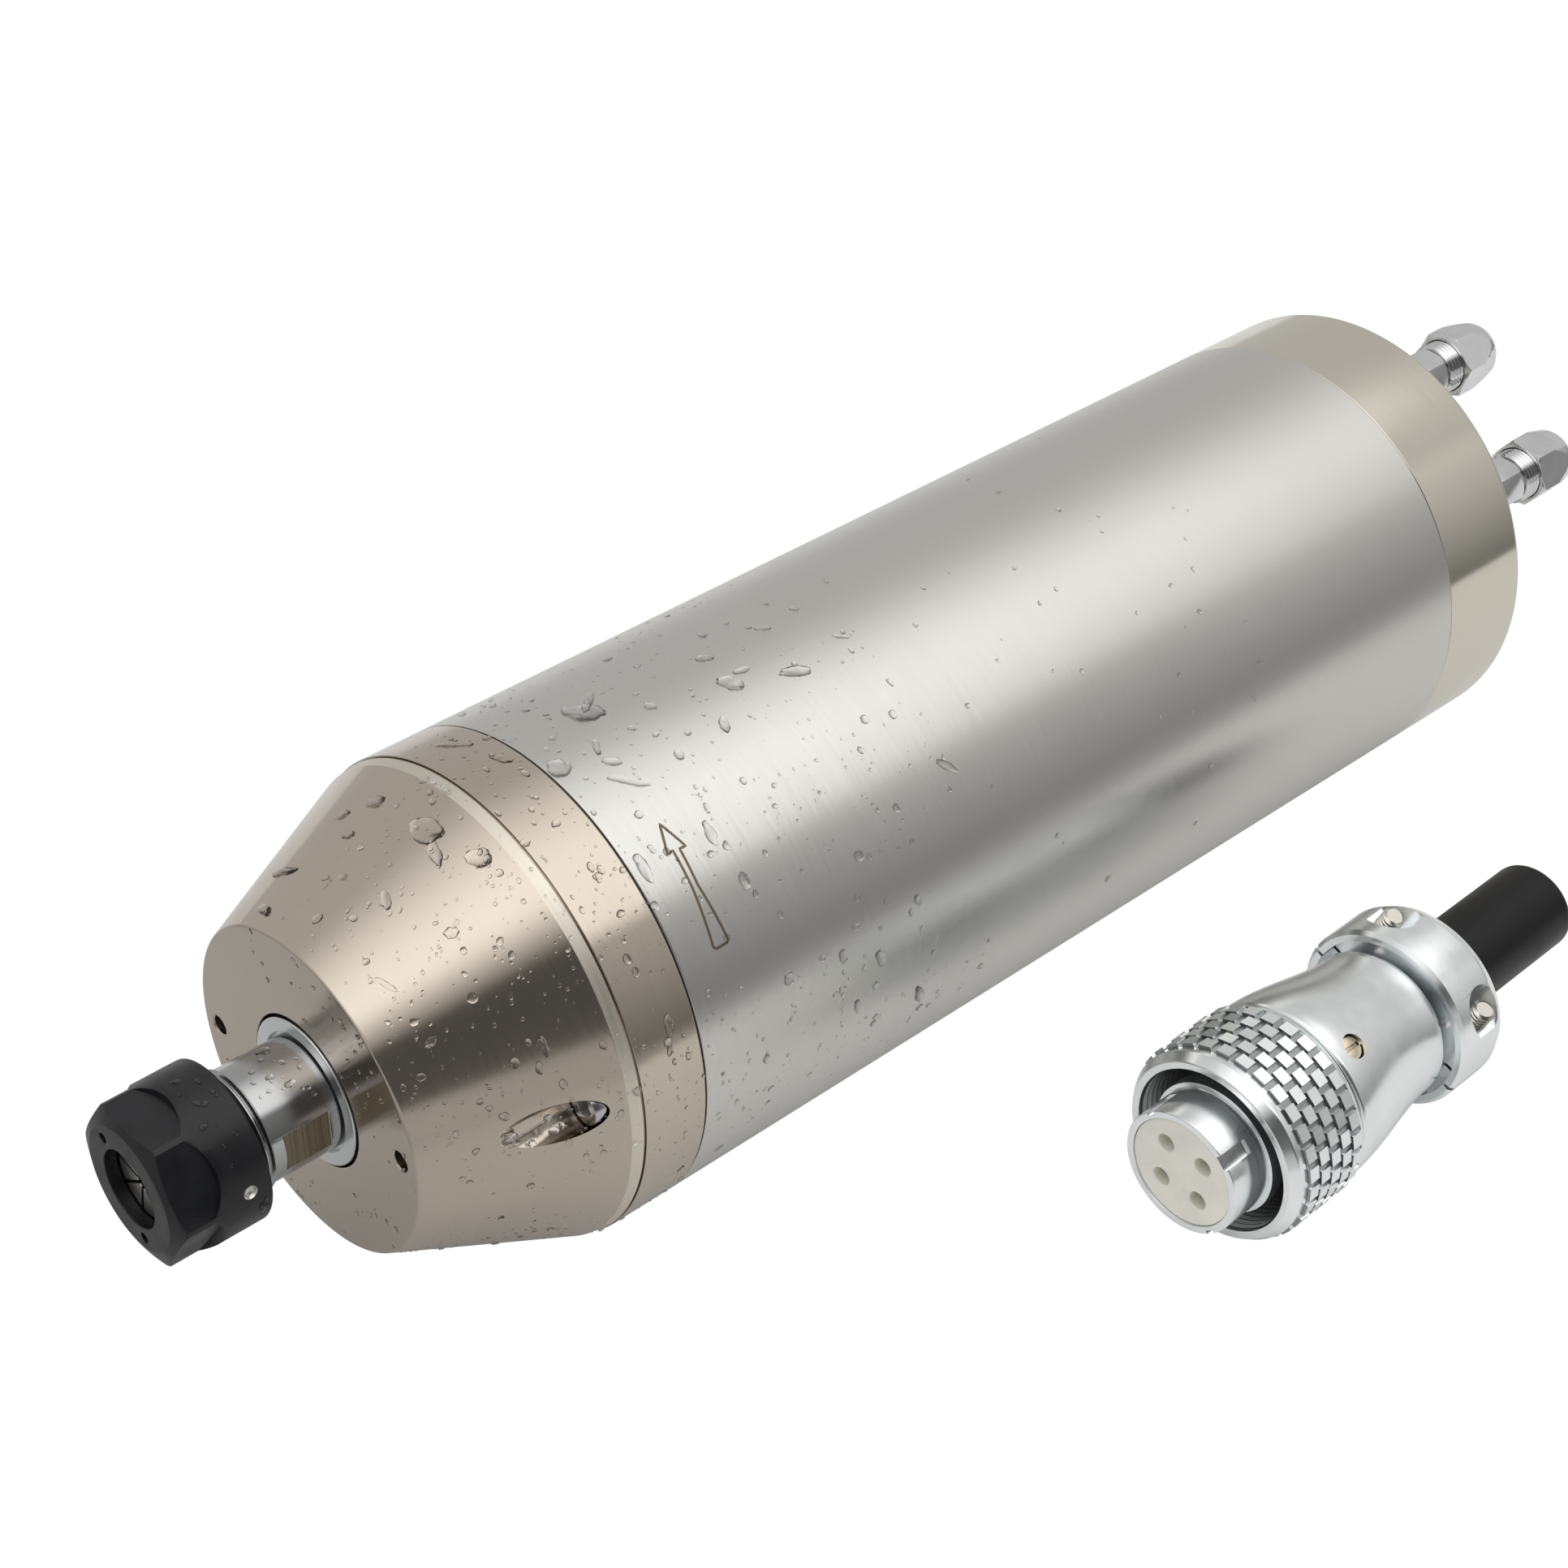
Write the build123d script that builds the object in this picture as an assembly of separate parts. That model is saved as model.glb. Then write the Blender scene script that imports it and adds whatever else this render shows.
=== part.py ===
from build123d import *
import math
import os

# High-speed motor spindle, lying with its axis along X.
# Millimetres, +Z up. The origin is on the axis at the flat nose face.
# The tool end points along -X and the rear face is at +X.

# Fits and clearances
SLIP = 0.05
RUN = 0.04
TRAP = 0.3
PRESS_GAP = 0.02
THREAD_GAP = 0.08
BALL_GAP = 0.03
HEAD_GAP = 0.3
CUT = 1.0

# Motor body, with its stations along the axis
BODY_R = 50.0
NOSE_FACE_R = 33.4
NOSE_CONE_STEP = 0.7
NOSE_STRIP_STEP = 0.3
NOSE_CONE_LENGTH = 36.0
NOSE_STRIP_LENGTH = 2.8
GROOVE_DEPTH = 0.7
GROOVE_HALF = 0.35
BAND_LENGTH = 14.3
SEAL_LINE = 0.5
TUBE_LENGTH = 218.8
TUBE_WALL = 4.0
CAP_LENGTH = 24.6
EDGE = 0.5
TUBE_EDGE = 0.3
CAP_EDGE = 0.8
NOSE_CONE_END_X = NOSE_CONE_LENGTH
NOSE_CONE_END_R = BODY_R - NOSE_CONE_STEP
NOSE_STRIP_R = BODY_R - NOSE_STRIP_STEP
GROOVE_X = NOSE_CONE_END_X + NOSE_STRIP_LENGTH
BAND_END_X = GROOVE_X + BAND_LENGTH
TUBE_X = BAND_END_X + SEAL_LINE
TUBE_END_X = TUBE_X + TUBE_LENGTH
REAR_X = TUBE_END_X + CAP_LENGTH
TUBE_BORE_R = BODY_R - TUBE_WALL
SPIGOT_R = TUBE_BORE_R - SLIP

# Nose hole, dust ring and shaft end
SHAFT_R = 11.57
DUST_RING_WALL = 3.6
DUST_RING_LIP = 0.73
DUST_RING_STEP = 1.0
DUST_RING_LENGTH = 5.0
DUST_RING_OUT = 0.4
DUST_GAP = 0.55
DUST_RING_R = SHAFT_R + DUST_RING_WALL
DUST_RING_LIP_R = SHAFT_R + DUST_RING_LIP
DUST_HOLE_R = DUST_RING_R + DUST_GAP
DUST_RING_FRONT_X = -DUST_RING_OUT
DUST_RING_REAR_X = DUST_RING_FRONT_X + DUST_RING_LENGTH
SHAFT_OUT = 28.6
THREAD_LENGTH = 13.7
THREAD_R = SHAFT_R + 0.53
THREAD_RUN = 9.1
THREAD_PITCH = 1.5
THREAD_DEPTH = 0.55
THREAD_EDGE = 0.6
FLAT_DEPTH = 0.72
FLAT_LENGTH = 10.0
FLAT_SETBACK = 2.4
SHAFT_FACE_X = -SHAFT_OUT
THREAD_END_X = SHAFT_FACE_X + THREAD_LENGTH
FLAT_HALF = SHAFT_R - FLAT_DEPTH
FLAT_X0 = THREAD_END_X + FLAT_SETBACK
FLAT_X1 = FLAT_X0 + FLAT_LENGTH
TAPER_DEG = 8.0
TAPER_MOUTH_WALL = 1.75
TAPER_MOUTH_R = THREAD_R - TAPER_MOUTH_WALL
TAPER_DEPTH = 26.0
SHAFT_HOLE_R = 6.2
SHAFT_HOLE_DEPTH = 50.6
SHAFT_HOLE_END_X = SHAFT_FACE_X + SHAFT_HOLE_DEPTH

# Collet
COLLET_OUT = 6.6
COLLET_LENGTH = 30.7
COLLET_FACE_R = 7.5
COLLET_RIM_R = 10.25
COLLET_GROOVE = 1.45
COLLET_RIM_DEG = 30.0
COLLET_RIM_BACK = 1.9
COLLET_SEAT_STEP = 0.3
COLLET_SLOT = 0.7
COLLET_SLOTS = 8
COLLET_SLOT_DEG = 12.0
COLLET_WEB = 4.0
COLLET_FACE_X = SHAFT_FACE_X - COLLET_OUT
COLLET_END_X = COLLET_FACE_X + COLLET_LENGTH
COLLET_GROOVE_R = COLLET_RIM_R - COLLET_GROOVE
TOOL_R = 1.5875
TOOL_BORE_LENGTH = 20.0
COLLET_BACK_R = 2.4

# Collet nut
NUT_OUT = 2.8
NUT_LENGTH = 19.4
NUT_WALL = 4.1
NUT_FACE_STEP = 3.56
NUT_CHAMFER = 1.4
NUT_REAR_EDGE = 0.7
NUT_MOUTH_GAP = 0.4
NUT_FLAT_STEP = 1.9
NUT_FLAT_LENGTH = 9.8
NUT_FLAT_CUTTER_R = 12.7
NUT_CORNER_DEG = 2.5
NUT_PIN_HOLE_R = 1.1
NUT_PIN_DEPTH = 1.6
NUT_PIN_RADIUS = 10.2
NUT_PIN_ANGLES = (50.0, 254.0)
NUT_DIMPLE_SETBACK = 4.6
NUT_DIMPLE_DEG = 176.0
NUT_DIMPLE_R = 1.5
NUT_DIMPLE_DEPTH = 1.5
NUT_LIP = 0.7
NUT_LIP_FRONT = 1.7
NUT_LIP_REAR = 0.4
NUT_RIM_GAP = 0.6
NUT_R = THREAD_R + NUT_WALL
NUT_FACE_R = NUT_R - NUT_FACE_STEP
NUT_MOUTH_R = COLLET_FACE_R + NUT_MOUTH_GAP
NUT_FRONT_X = COLLET_FACE_X - NUT_OUT
NUT_REAR_X = NUT_FRONT_X + NUT_LENGTH
NUT_FLAT_APOTHEM = NUT_R - NUT_FLAT_STEP
NUT_FLAT_BACK_X = NUT_FRONT_X + NUT_FLAT_LENGTH
NUT_DIMPLE_X = NUT_REAR_X - NUT_DIMPLE_SETBACK
COLLET_LIP_R = COLLET_GROOVE_R + NUT_LIP

# Nose cone screws and spanner holes
NOSE_SCREW_INSET = 6.1
NOSE_SCREW_ANGLES = (171.5, 351.5)
NOSE_POCKET_R = 4.0
NOSE_SCREW_R = 2.0
NOSE_SCREW_HEAD_R = 3.5
NOSE_SCREW_HEAD = 4.0
NOSE_SEAT_WALL = 4.8
NOSE_SCREW_GRIP = 7.2
NOSE_SCREW_RADIUS = BODY_R - NOSE_SCREW_INSET
NOSE_SCREW_SEAT_X = GROOVE_X - NOSE_SEAT_WALL
NOSE_SCREW_END_X = GROOVE_X + NOSE_SCREW_GRIP
SPANNER_INSET = 4.6
SPANNER_HOLE_R = 2.0
SPANNER_DEPTH = 6.0
SPANNER_ANGLES = (-5.0, 175.0)
SPANNER_RADIUS = NOSE_FACE_R - SPANNER_INSET
NOSE_WALL_X = 10.2

# Front bearing pair
FB_BORE_R = 15.0
FB_OUTER_R = 27.5
FB_WIDTH = 13.0
FB_SETBACK = 2.3
FB_X0 = NOSE_WALL_X + FB_SETBACK
FB_BALLS = 12
FB_BALL_R = 3.6
FB_GAP = 0.4
FB_END_X = FB_X0 + 2 * FB_WIDTH + FB_GAP
HOUSING_SLEEVE_WALL = 6.5
HOUSING_SLEEVE_R = FB_OUTER_R + HOUSING_SLEEVE_WALL
HOUSING_LIP = 3.5
HOUSING_LIP_LENGTH = 4.0
HOUSING_CONE_LENGTH = 8.0
HOUSING_SPIGOT = 12.9
HOUSING_SPIGOT_WALL = 7.45
HOUSING_SPIGOT_X = BAND_END_X + HOUSING_SPIGOT

# Rear bearing pair and its housing
REAR_HOUSING_LENGTH = 39.0
REAR_HOUSING_X0 = TUBE_END_X - REAR_HOUSING_LENGTH
REAR_HOUSING_LIP = 2.0
REAR_HOUSING_LIP_WALL = 4.95
REAR_HOUSING_SHOULDER = 4.0
RB_BORE_R = 12.5
RB_OUTER_R = 23.5
RB_WIDTH = 12.0
RB_SETBACK = 4.1
RB_X0 = REAR_HOUSING_X0 + RB_SETBACK
RB_BALLS = 11
RB_BALL_R = 3.2
RB_END_X = RB_X0 + 2 * RB_WIDTH + FB_GAP
CAGE_HALF = 1.1
CAGE_SETBACK = 1.2
RACE_SHARE = 0.55
LOCK_NUT_STEP = 1.5
LOCK_NUT_R = (RB_BORE_R + RB_OUTER_R) / 2 - LOCK_NUT_STEP
LOCK_NUT_LENGTH = 5.9
LOCK_NUT_GAP = 0.1
SHAFT_TAIL = 7.0
SPRING_WIDTH = 4.1
SPRING_IN_R = RB_OUTER_R - SPRING_WIDTH
SPRING_RISE = 3.2
SPRING_SHEET = 0.8
PLATE_WIDTH = 5.5
PLATE_IN_R = RB_OUTER_R - PLATE_WIDTH
PLATE_THICK = 3.0

# Motor
JACKET_GAP = 0.5
JACKET_WALL = 5.1
JACKET_X0 = HOUSING_SPIGOT_X + JACKET_GAP
JACKET_X1 = REAR_HOUSING_X0 - JACKET_GAP + 0.1
JACKET_END = 15.0
JACKET_RIB = 4.0
JACKET_GROOVES = 9
JACKET_GROOVE_DEPTH = 2.4
O_RING_R = 0.9
O_RING_SETBACK = 6.0
O_RING_GROOVE_HALF = 1.1
O_RING_GROOVE_DEPTH = 1.9
STATOR_R = TUBE_BORE_R - JACKET_WALL
ROTOR_SHAFT_R = 17.0
REAR_JOURNAL_R = 15.5
CORE_SETBACK = 25.5
CORE_REAR_SETBACK = 11.0
CORE_X0 = JACKET_X0 + CORE_SETBACK
CORE_X1 = JACKET_X1 - CORE_REAR_SETBACK
ROTOR_R = 23.0
AIR_GAP = 0.3
YOKE = 6.9
TOOTH_TIP = 2.7
SLOTS = 12
SLOT_W = 4.0
SLOT_LINER = 0.1
SLOT_TOP_R = STATOR_R - YOKE
SLOT_MOUTH_R = ROTOR_R + AIR_GAP + TOOTH_TIP
WIND_FRONT = 19.0
WIND_REAR = 10.5
WIND_LIFT = 0.5
WIND_IN_GAP = 2.0
WIND_OUT_GAP = 2.9
WIND_X0 = CORE_X0 - WIND_FRONT
WIND_IN_R = ROTOR_R + WIND_IN_GAP
WIND_OUT_R = STATOR_R - WIND_OUT_GAP
END_RING_LENGTH = 8.0
END_RING_STEP = 0.6

# Rear fittings
FIT_INSET = 13.0
FIT_RADIUS = BODY_R - FIT_INSET
FIT_ANGLES = (102.3, 150.7)
FIT_HEX_APOTHEM = 5.3
FIT_HEX_LENGTH = 15.6
FIT_HEX_TURN = 12.0
FIT_HEX_ROUND = 0.9
FIT_HEX_EDGE = 1.4
FIT_NECK_R = 4.9
FIT_NECK = 0.8
FIT_THREAD_R = 6.0
FIT_THREAD_LENGTH = 11.6
FIT_THREAD_EDGE = 0.6
FIT_THREAD_PITCH = 1.0
FIT_THREAD_DEPTH = 0.45
FIT_TIP = 1.2
FIT_TIP_R = 3.0
FIT_TIP_EDGE = 0.4
FIT_BORE_R = 2.0
FIT_CHANNEL_R = 3.0
FIT_ROOT = 10.0
FIT_ROOT_R = 4.8
FNUT_SETBACK = 3.5
FNUT_LENGTH = 13.6
FNUT_WALL = 0.9
FNUT_DOME = 5.6
FNUT_DOME_RUN = 3.0
FNUT_END_STEP = 1.5
FNUT_EDGE = 0.7
FNUT_MOUTH_R = 4.05
FNUT_MOUTH_LENGTH = 3.3
FNUT_HEX_DEG = (48.0, 9.0)
FERRULE_LENGTH = 1.4
FERRULE_GAP = 0.15
FIT_HEX_END_X = REAR_X + FIT_HEX_LENGTH
FIT_THREAD_X0 = FIT_HEX_END_X + FIT_NECK
FIT_THREAD_X1 = FIT_THREAD_X0 + FIT_THREAD_LENGTH
FIT_TIP_X = FIT_THREAD_X1 + FIT_TIP
FIT_ROOT_X = REAR_X - FIT_ROOT
FNUT_X0 = FIT_THREAD_X0 + FNUT_SETBACK
FNUT_X1 = FNUT_X0 + FNUT_LENGTH
FNUT_APOTHEM = FIT_THREAD_R + FNUT_WALL
FNUT_DOME_X = FNUT_X0 + FNUT_DOME
FNUT_END_R = FNUT_APOTHEM - FNUT_END_STEP
FNUT_MOUTH_X = FNUT_X1 - FNUT_MOUTH_LENGTH

# Power socket
SOCKET_Y = 13.1
SOCKET_Z = -17.7
SOCKET_FLANGE = 2.5
SOCKET_FLANGE_STEP = 4.8
SOCKET_BORE_R = 13.7
SOCKET_WALL = 3.5
SOCKET_LENGTH = 15.0
SOCKET_EDGE = 0.6
SOCKET_INSERT = 6.0
SOCKET_INSERT_BACK = 8.0
SOCKET_PIN_R = 1.7
SOCKET_PIN = 7.5
SOCKET_PIN_EDGE = 0.9
SOCKET_PIN_BACK = 13.0
PIN_CIRCLE_R = 6.3
PIN_ANGLES = (47.0, 137.0, 227.0, 317.0)
SOCKET_SCREW_R = 1.3
SOCKET_SCREW_HEAD_R = 2.1
SOCKET_SCREW_SLOT = 0.5
SOCKET_SCREW_SINK = 0.05
SOCKET_SCREW_GRIP = 6.0
SOCKET_SCREW_INSET = 2.3
SOCKET_THREAD_R = SOCKET_BORE_R + SOCKET_WALL
SOCKET_FLANGE_R = SOCKET_THREAD_R + SOCKET_FLANGE_STEP
SOCKET_SCREW_CIRCLE = SOCKET_FLANGE_R - SOCKET_SCREW_INSET
SOCKET_END_X = REAR_X + SOCKET_LENGTH
SOCKET_INSERT_X = REAR_X + SOCKET_INSERT
SOCKET_PIN_END_X = SOCKET_INSERT_X + SOCKET_PIN

# Rear cap
CAP_WALL = 9.0
CAP_CAVITY_R = 30.0
CAP_SCREW_INSET = 8.0
CAP_SCREW_RADIUS = BODY_R - CAP_SCREW_INSET
CAP_SCREW_ANGLES = (82.0, 172.0, 262.0, 352.0)
CAP_SCREW_R = 2.5
CAP_HEAD_R = 4.2
CAP_HEAD = 5.0
CAP_HEAD_SINK = 0.4
CAP_SCREW_LENGTH = 32.0
CAP_SCREW_HOLE = 1.6
HEX_SHARE = 0.85
HEX_DEPTH_SHARE = 0.55

# Loose plug, in its own frame with the insert face at x = 0
PLUG_NUT_R = 21.3
PLUG_X = 126.1
PLUG_Y = -103.5
PLUG_Z = PLUG_NUT_R - BODY_R
PLUG_YAW = 2.0
PLUG_INSERT_R = 11.7
PLUG_INSERT_END = 20.0
PLUG_SLEEVE_WALL = 1.6
PLUG_SLEEVE_OUT = 0.3
PLUG_SLEEVE_EDGE = 0.4
PLUG_COLLAR_X0 = 9.6
PLUG_COLLAR_X1 = 13.0
PLUG_COLLAR = 0.9
PLUG_FLANGE = 2.3
PLUG_KEY_DEG = 137.0
PLUG_KEY_W = 3.0
PLUG_KEY_DEPTH = 1.2
PLUG_SIDE_KEY_ANGLES = (50.0, 230.0)
PLUG_SIDE_KEY_W = 2.0
PLUG_SIDE_KEY_DEPTH = 0.8
PLUG_KEY_LENGTH = 6.6
PLUG_HOLE_GAP = 0.25
PLUG_HOLE_R = SOCKET_PIN_R + PLUG_HOLE_GAP
PLUG_CONTACT_WALL = 0.2
PLUG_CONTACT_X = 4.0
PLUG_CONTACT_FLOOR = 16.0
PLUG_CONTACT_END = 26.0
PLUG_NUT_X0 = 8.4
PLUG_NUT_LENGTH = 21.8
PLUG_NUT_BORE_GAP = 0.25
PLUG_NUT_FACE_STEP = 2.0
PLUG_NUT_LIP = 5.6
PLUG_NUT_LIP_STEP = 1.85
PLUG_NUT_REAR_EDGE = 1.2
KNURL_SETBACK = 3.6
KNURL_TAIL = 1.6
KNURL_ROWS = 5
KNURL_COUNT = 30
KNURL_DEPTH = 0.55
KNURL_GROOVE = 0.4
PLUG_THREAD_PITCH = 1.5
PLUG_THREADS = 5
PLUG_THREAD_SETBACK = 1.2
PLUG_THREAD_DEPTH = 0.5
PLUG_SLEEVE_R = PLUG_INSERT_R + PLUG_SLEEVE_WALL
PLUG_NUT_X1 = PLUG_NUT_X0 + PLUG_NUT_LENGTH
PLUG_NUT_BORE_R = SOCKET_THREAD_R + PLUG_NUT_BORE_GAP
PLUG_NUT_FACE_R = PLUG_NUT_R - PLUG_NUT_FACE_STEP
PLUG_NUT_LIP_R = PLUG_NUT_BORE_R - PLUG_NUT_LIP_STEP
PLUG_NUT_LIP_X = PLUG_NUT_X1 - PLUG_NUT_LIP
PLUG_FLANGE_R = PLUG_NUT_BORE_R - PLUG_NUT_BORE_GAP
KNURL_X0 = PLUG_NUT_X0 + KNURL_SETBACK
KNURL_X1 = PLUG_NUT_X1 - KNURL_TAIL

# Shell of the plug
PLUG_SHELL_GAP = 0.4
PLUG_SHELL_LENGTH = 31.9
PLUG_SHELL_FRONT_STEP = 1.0
PLUG_SHELL_REAR_R = 16.4
PLUG_SHELL_BORE_R = 12.2
PLUG_SHELL_FRONT_EDGE = 0.8
PLUG_SHELL_EDGE = 1.2
PLUG_SCREW_SETBACK = 5.8
PLUG_SCREW_DEG = 124.0
PLUG_SCREW_R = 2.4
PLUG_SCREW_LENGTH = 6.0
PLUG_SCREW_SINK = 1.5
PLUG_SCREW_SLOT = 0.8
PLUG_SCREW_GAP = 0.25
PLUG_SHELL_X0 = PLUG_NUT_X1 + PLUG_SHELL_GAP
PLUG_SHELL_X1 = PLUG_SHELL_X0 + PLUG_SHELL_LENGTH
PLUG_SHELL_FRONT_R = PLUG_NUT_R - PLUG_SHELL_FRONT_STEP
PLUG_SCREW_X = PLUG_SHELL_X0 + PLUG_SCREW_SETBACK

# Cable clamp and rubber sleeve
BOOT_R = 9.7
BOOT_WALL = 3.5
BOOT_OUT = 37.0
BOOT_EDGE = 1.2
CLAMP_SETBACK = 1.1
CLAMP_LENGTH = 15.9
CLAMP_R = 19.8
CLAMP_EDGE = 0.8
CLAMP_RECESS_GAP = 1.2
CLAMP_RECESS = 4.0
CLAMP_BACK = 4.5
CLAMP_SLIT = 0.8
CLAMP_DEG = 114.0
CLAMP_SCREW_OFFSET = 12.8
CLAMP_SCREW_SETBACK = 8.0
CLAMP_SCREW_R = 2.4
CLAMP_POCKET_R = 4.3
CLAMP_POCKET_LEVEL = 11.2
CLAMP_HEAD_LEVEL = -11.0
CLAMP_HEAD_R = 4.2
CLAMP_HEAD = 4.0
CLAMP_HEAD_SLOT = 1.0
CLAMP_SCREW_OUT = 4.0
CLAMP_THREAD_PITCH = 0.9
CLAMP_THREAD_W = 0.35
CLAMP_THREAD_DEPTH = 0.3
CLAMP_X0 = PLUG_SHELL_X1 + CLAMP_SETBACK
CLAMP_X1 = CLAMP_X0 + CLAMP_LENGTH
CLAMP_RECESS_R = PLUG_SHELL_REAR_R + CLAMP_RECESS_GAP
CLAMP_SCREW_X = CLAMP_X0 + CLAMP_SCREW_SETBACK
CLAMP_SCREW_TOP = CLAMP_POCKET_LEVEL + CLAMP_SCREW_OUT
BOOT_BORE_R = BOOT_R - BOOT_WALL
BOOT_X0 = CLAMP_X0 + CLAMP_RECESS + 0.4
BOOT_X1 = CLAMP_X1 + BOOT_OUT


def turned(points):
    """A body of revolution about X from (x, radius) corner points."""
    outline = Plane.XZ * make_face(Polyline(*points, close=True))
    return revolve(outline, Axis.X)


def rod(x0, x1, radius, y=0.0, z=0.0):
    """A cylinder along X between two stations."""
    return Pos((x0 + x1) / 2, y, z) * Rot(0, 90, 0) * Cylinder(radius, x1 - x0)


def ring(x0, x1, inner, outer):
    """A plain ring about the X axis."""
    return turned([(x0, inner), (x0, outer), (x1, outer), (x1, inner)])


def hex_rod(x0, x1, apothem, turn=0.0):
    """A hexagonal bar along X."""
    sketch = Plane.YZ * Rot(0, 0, turn) * RegularPolygon(apothem, 6, major_radius=False)
    return Pos(x0, 0, 0) * extrude(sketch, x1 - x0)


def polar(radius, degrees):
    """The (y, z) place on a circle about X."""
    a = math.radians(degrees)
    return radius * math.cos(a), radius * math.sin(a)


def thread_grooves(x0, x1, pitch, radius, depth):
    """Ring cutters that mark a fine outside thread."""
    cutters = []
    count = int((x1 - x0) / pitch)
    for i in range(count):
        x = x0 + (i + 0.5) * pitch
        half = pitch * 0.42
        over = radius + depth / 2
        cutters.append(turned([(x - half, over), (x, radius - depth), (x + half, over)]))
    return cutters


def cap_screw(x_seat, x_end, shank_r, head_r, head_len, y, z):
    """A socket head screw along +X with its head on the -X side of the seat."""
    head = rod(x_seat - head_len, x_seat, head_r, y, z)
    shank = rod(x_seat - head_len / 4, x_end, shank_r, y, z)
    socket = Pos(x_seat - head_len, y, z) * extrude(
        Plane.YZ * RegularPolygon(shank_r * HEX_SHARE, 6, major_radius=False), head_len * HEX_DEPTH_SHARE)
    return head + shank - socket


def nose_cone():
    step = NOSE_CONE_STEP - NOSE_STRIP_STEP
    body = turned([
        (0, DUST_HOLE_R), (0, NOSE_FACE_R - EDGE), (EDGE * 0.8, NOSE_FACE_R),
        (NOSE_CONE_END_X, NOSE_CONE_END_R), (NOSE_CONE_END_X + step, NOSE_STRIP_R),
        (GROOVE_X - GROOVE_HALF, NOSE_STRIP_R), (GROOVE_X - GROOVE_HALF, NOSE_STRIP_R - GROOVE_DEPTH),
        (GROOVE_X, NOSE_STRIP_R - GROOVE_DEPTH), (GROOVE_X, HOUSING_SLEEVE_R + SLIP),
        (NOSE_WALL_X, HOUSING_SLEEVE_R + SLIP), (NOSE_WALL_X, DUST_HOLE_R)])
    for angle in NOSE_SCREW_ANGLES:
        y, z = polar(NOSE_SCREW_RADIUS, angle)
        body -= rod(0, NOSE_SCREW_SEAT_X, NOSE_POCKET_R, y, z)
        body -= rod(0, GROOVE_X + CUT, NOSE_SCREW_R + SLIP, y, z)
    for angle in SPANNER_ANGLES:
        y, z = polar(SPANNER_RADIUS, angle)
        body -= rod(-CUT, SPANNER_DEPTH, SPANNER_HOLE_R, y, z)
    return body


def nose_screws():
    screws = []
    for angle in NOSE_SCREW_ANGLES:
        y, z = polar(NOSE_SCREW_RADIUS, angle)
        screws.append(cap_screw(NOSE_SCREW_SEAT_X, NOSE_SCREW_END_X, NOSE_SCREW_R,
                                NOSE_SCREW_HEAD_R, NOSE_SCREW_HEAD, y, z))
    return Compound(children=screws)


def front_housing():
    bore = FB_OUTER_R + SLIP
    spigot_bore = SPIGOT_R - HOUSING_SPIGOT_WALL
    lip = FB_OUTER_R - HOUSING_LIP
    cone_x = FB_END_X + HOUSING_LIP_LENGTH
    body = turned([
        (NOSE_WALL_X + TRAP, bore), (NOSE_WALL_X + TRAP, HOUSING_SLEEVE_R), (GROOVE_X, HOUSING_SLEEVE_R),
        (GROOVE_X, BODY_R - GROOVE_DEPTH), (GROOVE_X + GROOVE_HALF, BODY_R - GROOVE_DEPTH),
        (GROOVE_X + GROOVE_HALF, BODY_R), (BAND_END_X - EDGE, BODY_R), (BAND_END_X - SLIP, BODY_R - EDGE),
        (BAND_END_X - SLIP, SPIGOT_R), (HOUSING_SPIGOT_X, SPIGOT_R), (HOUSING_SPIGOT_X, spigot_bore),
        (FB_END_X + HOUSING_CONE_LENGTH, spigot_bore), (cone_x, lip), (FB_END_X, lip), (FB_END_X, bore)])
    for angle in NOSE_SCREW_ANGLES:
        y, z = polar(NOSE_SCREW_RADIUS, angle)
        body -= rod(GROOVE_X - CUT, NOSE_SCREW_END_X + CUT, NOSE_SCREW_R + SLIP, y, z)
    return body


def front_seal_line():
    return ring(BAND_END_X, TUBE_X, TUBE_BORE_R, BODY_R - TUBE_EDGE)


def outer_tube():
    edge = TUBE_EDGE
    return turned([(TUBE_X, TUBE_BORE_R), (TUBE_X, BODY_R - edge), (TUBE_X + edge, BODY_R),
                   (TUBE_END_X - edge, BODY_R), (TUBE_END_X, BODY_R - edge), (TUBE_END_X, TUBE_BORE_R)])


def o_ring_places():
    return (JACKET_X0 + O_RING_SETBACK, JACKET_X1 - O_RING_SETBACK)


def water_jacket():
    outer = SPIGOT_R
    body = ring(JACKET_X0, JACKET_X1, STATOR_R + SLIP, outer)
    step = (JACKET_X1 - JACKET_X0 - 2 * JACKET_END) / JACKET_GROOVES
    for i in range(JACKET_GROOVES):
        x = JACKET_X0 + JACKET_END + i * step
        body -= ring(x + JACKET_RIB / 2, x + step - JACKET_RIB / 2, outer - JACKET_GROOVE_DEPTH, outer + CUT)
    for x in o_ring_places():
        body -= ring(x - O_RING_GROOVE_HALF, x + O_RING_GROOVE_HALF, outer - O_RING_GROOVE_DEPTH, outer + CUT)
    return body


def jacket_o_rings():
    centre = TUBE_BORE_R - RUN - O_RING_R
    rings = []
    for x in o_ring_places():
        section = Plane.XZ * Pos(x, centre) * RegularPolygon(O_RING_R, 8)
        rings.append(revolve(section, Axis.X))
    return Compound(children=rings)


def stator_core():
    body = ring(CORE_X0, CORE_X1, ROTOR_R + AIR_GAP, STATOR_R)
    mid = (SLOT_MOUTH_R + SLOT_TOP_R) / 2
    for i in range(SLOTS):
        slot = Pos((CORE_X0 + CORE_X1) / 2, 0, mid) * Box(
            CORE_X1 - CORE_X0 + 2 * CUT, SLOT_W, SLOT_TOP_R - SLOT_MOUTH_R)
        body -= Rot(i * 360 / SLOTS, 0, 0) * slot
    return body


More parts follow.
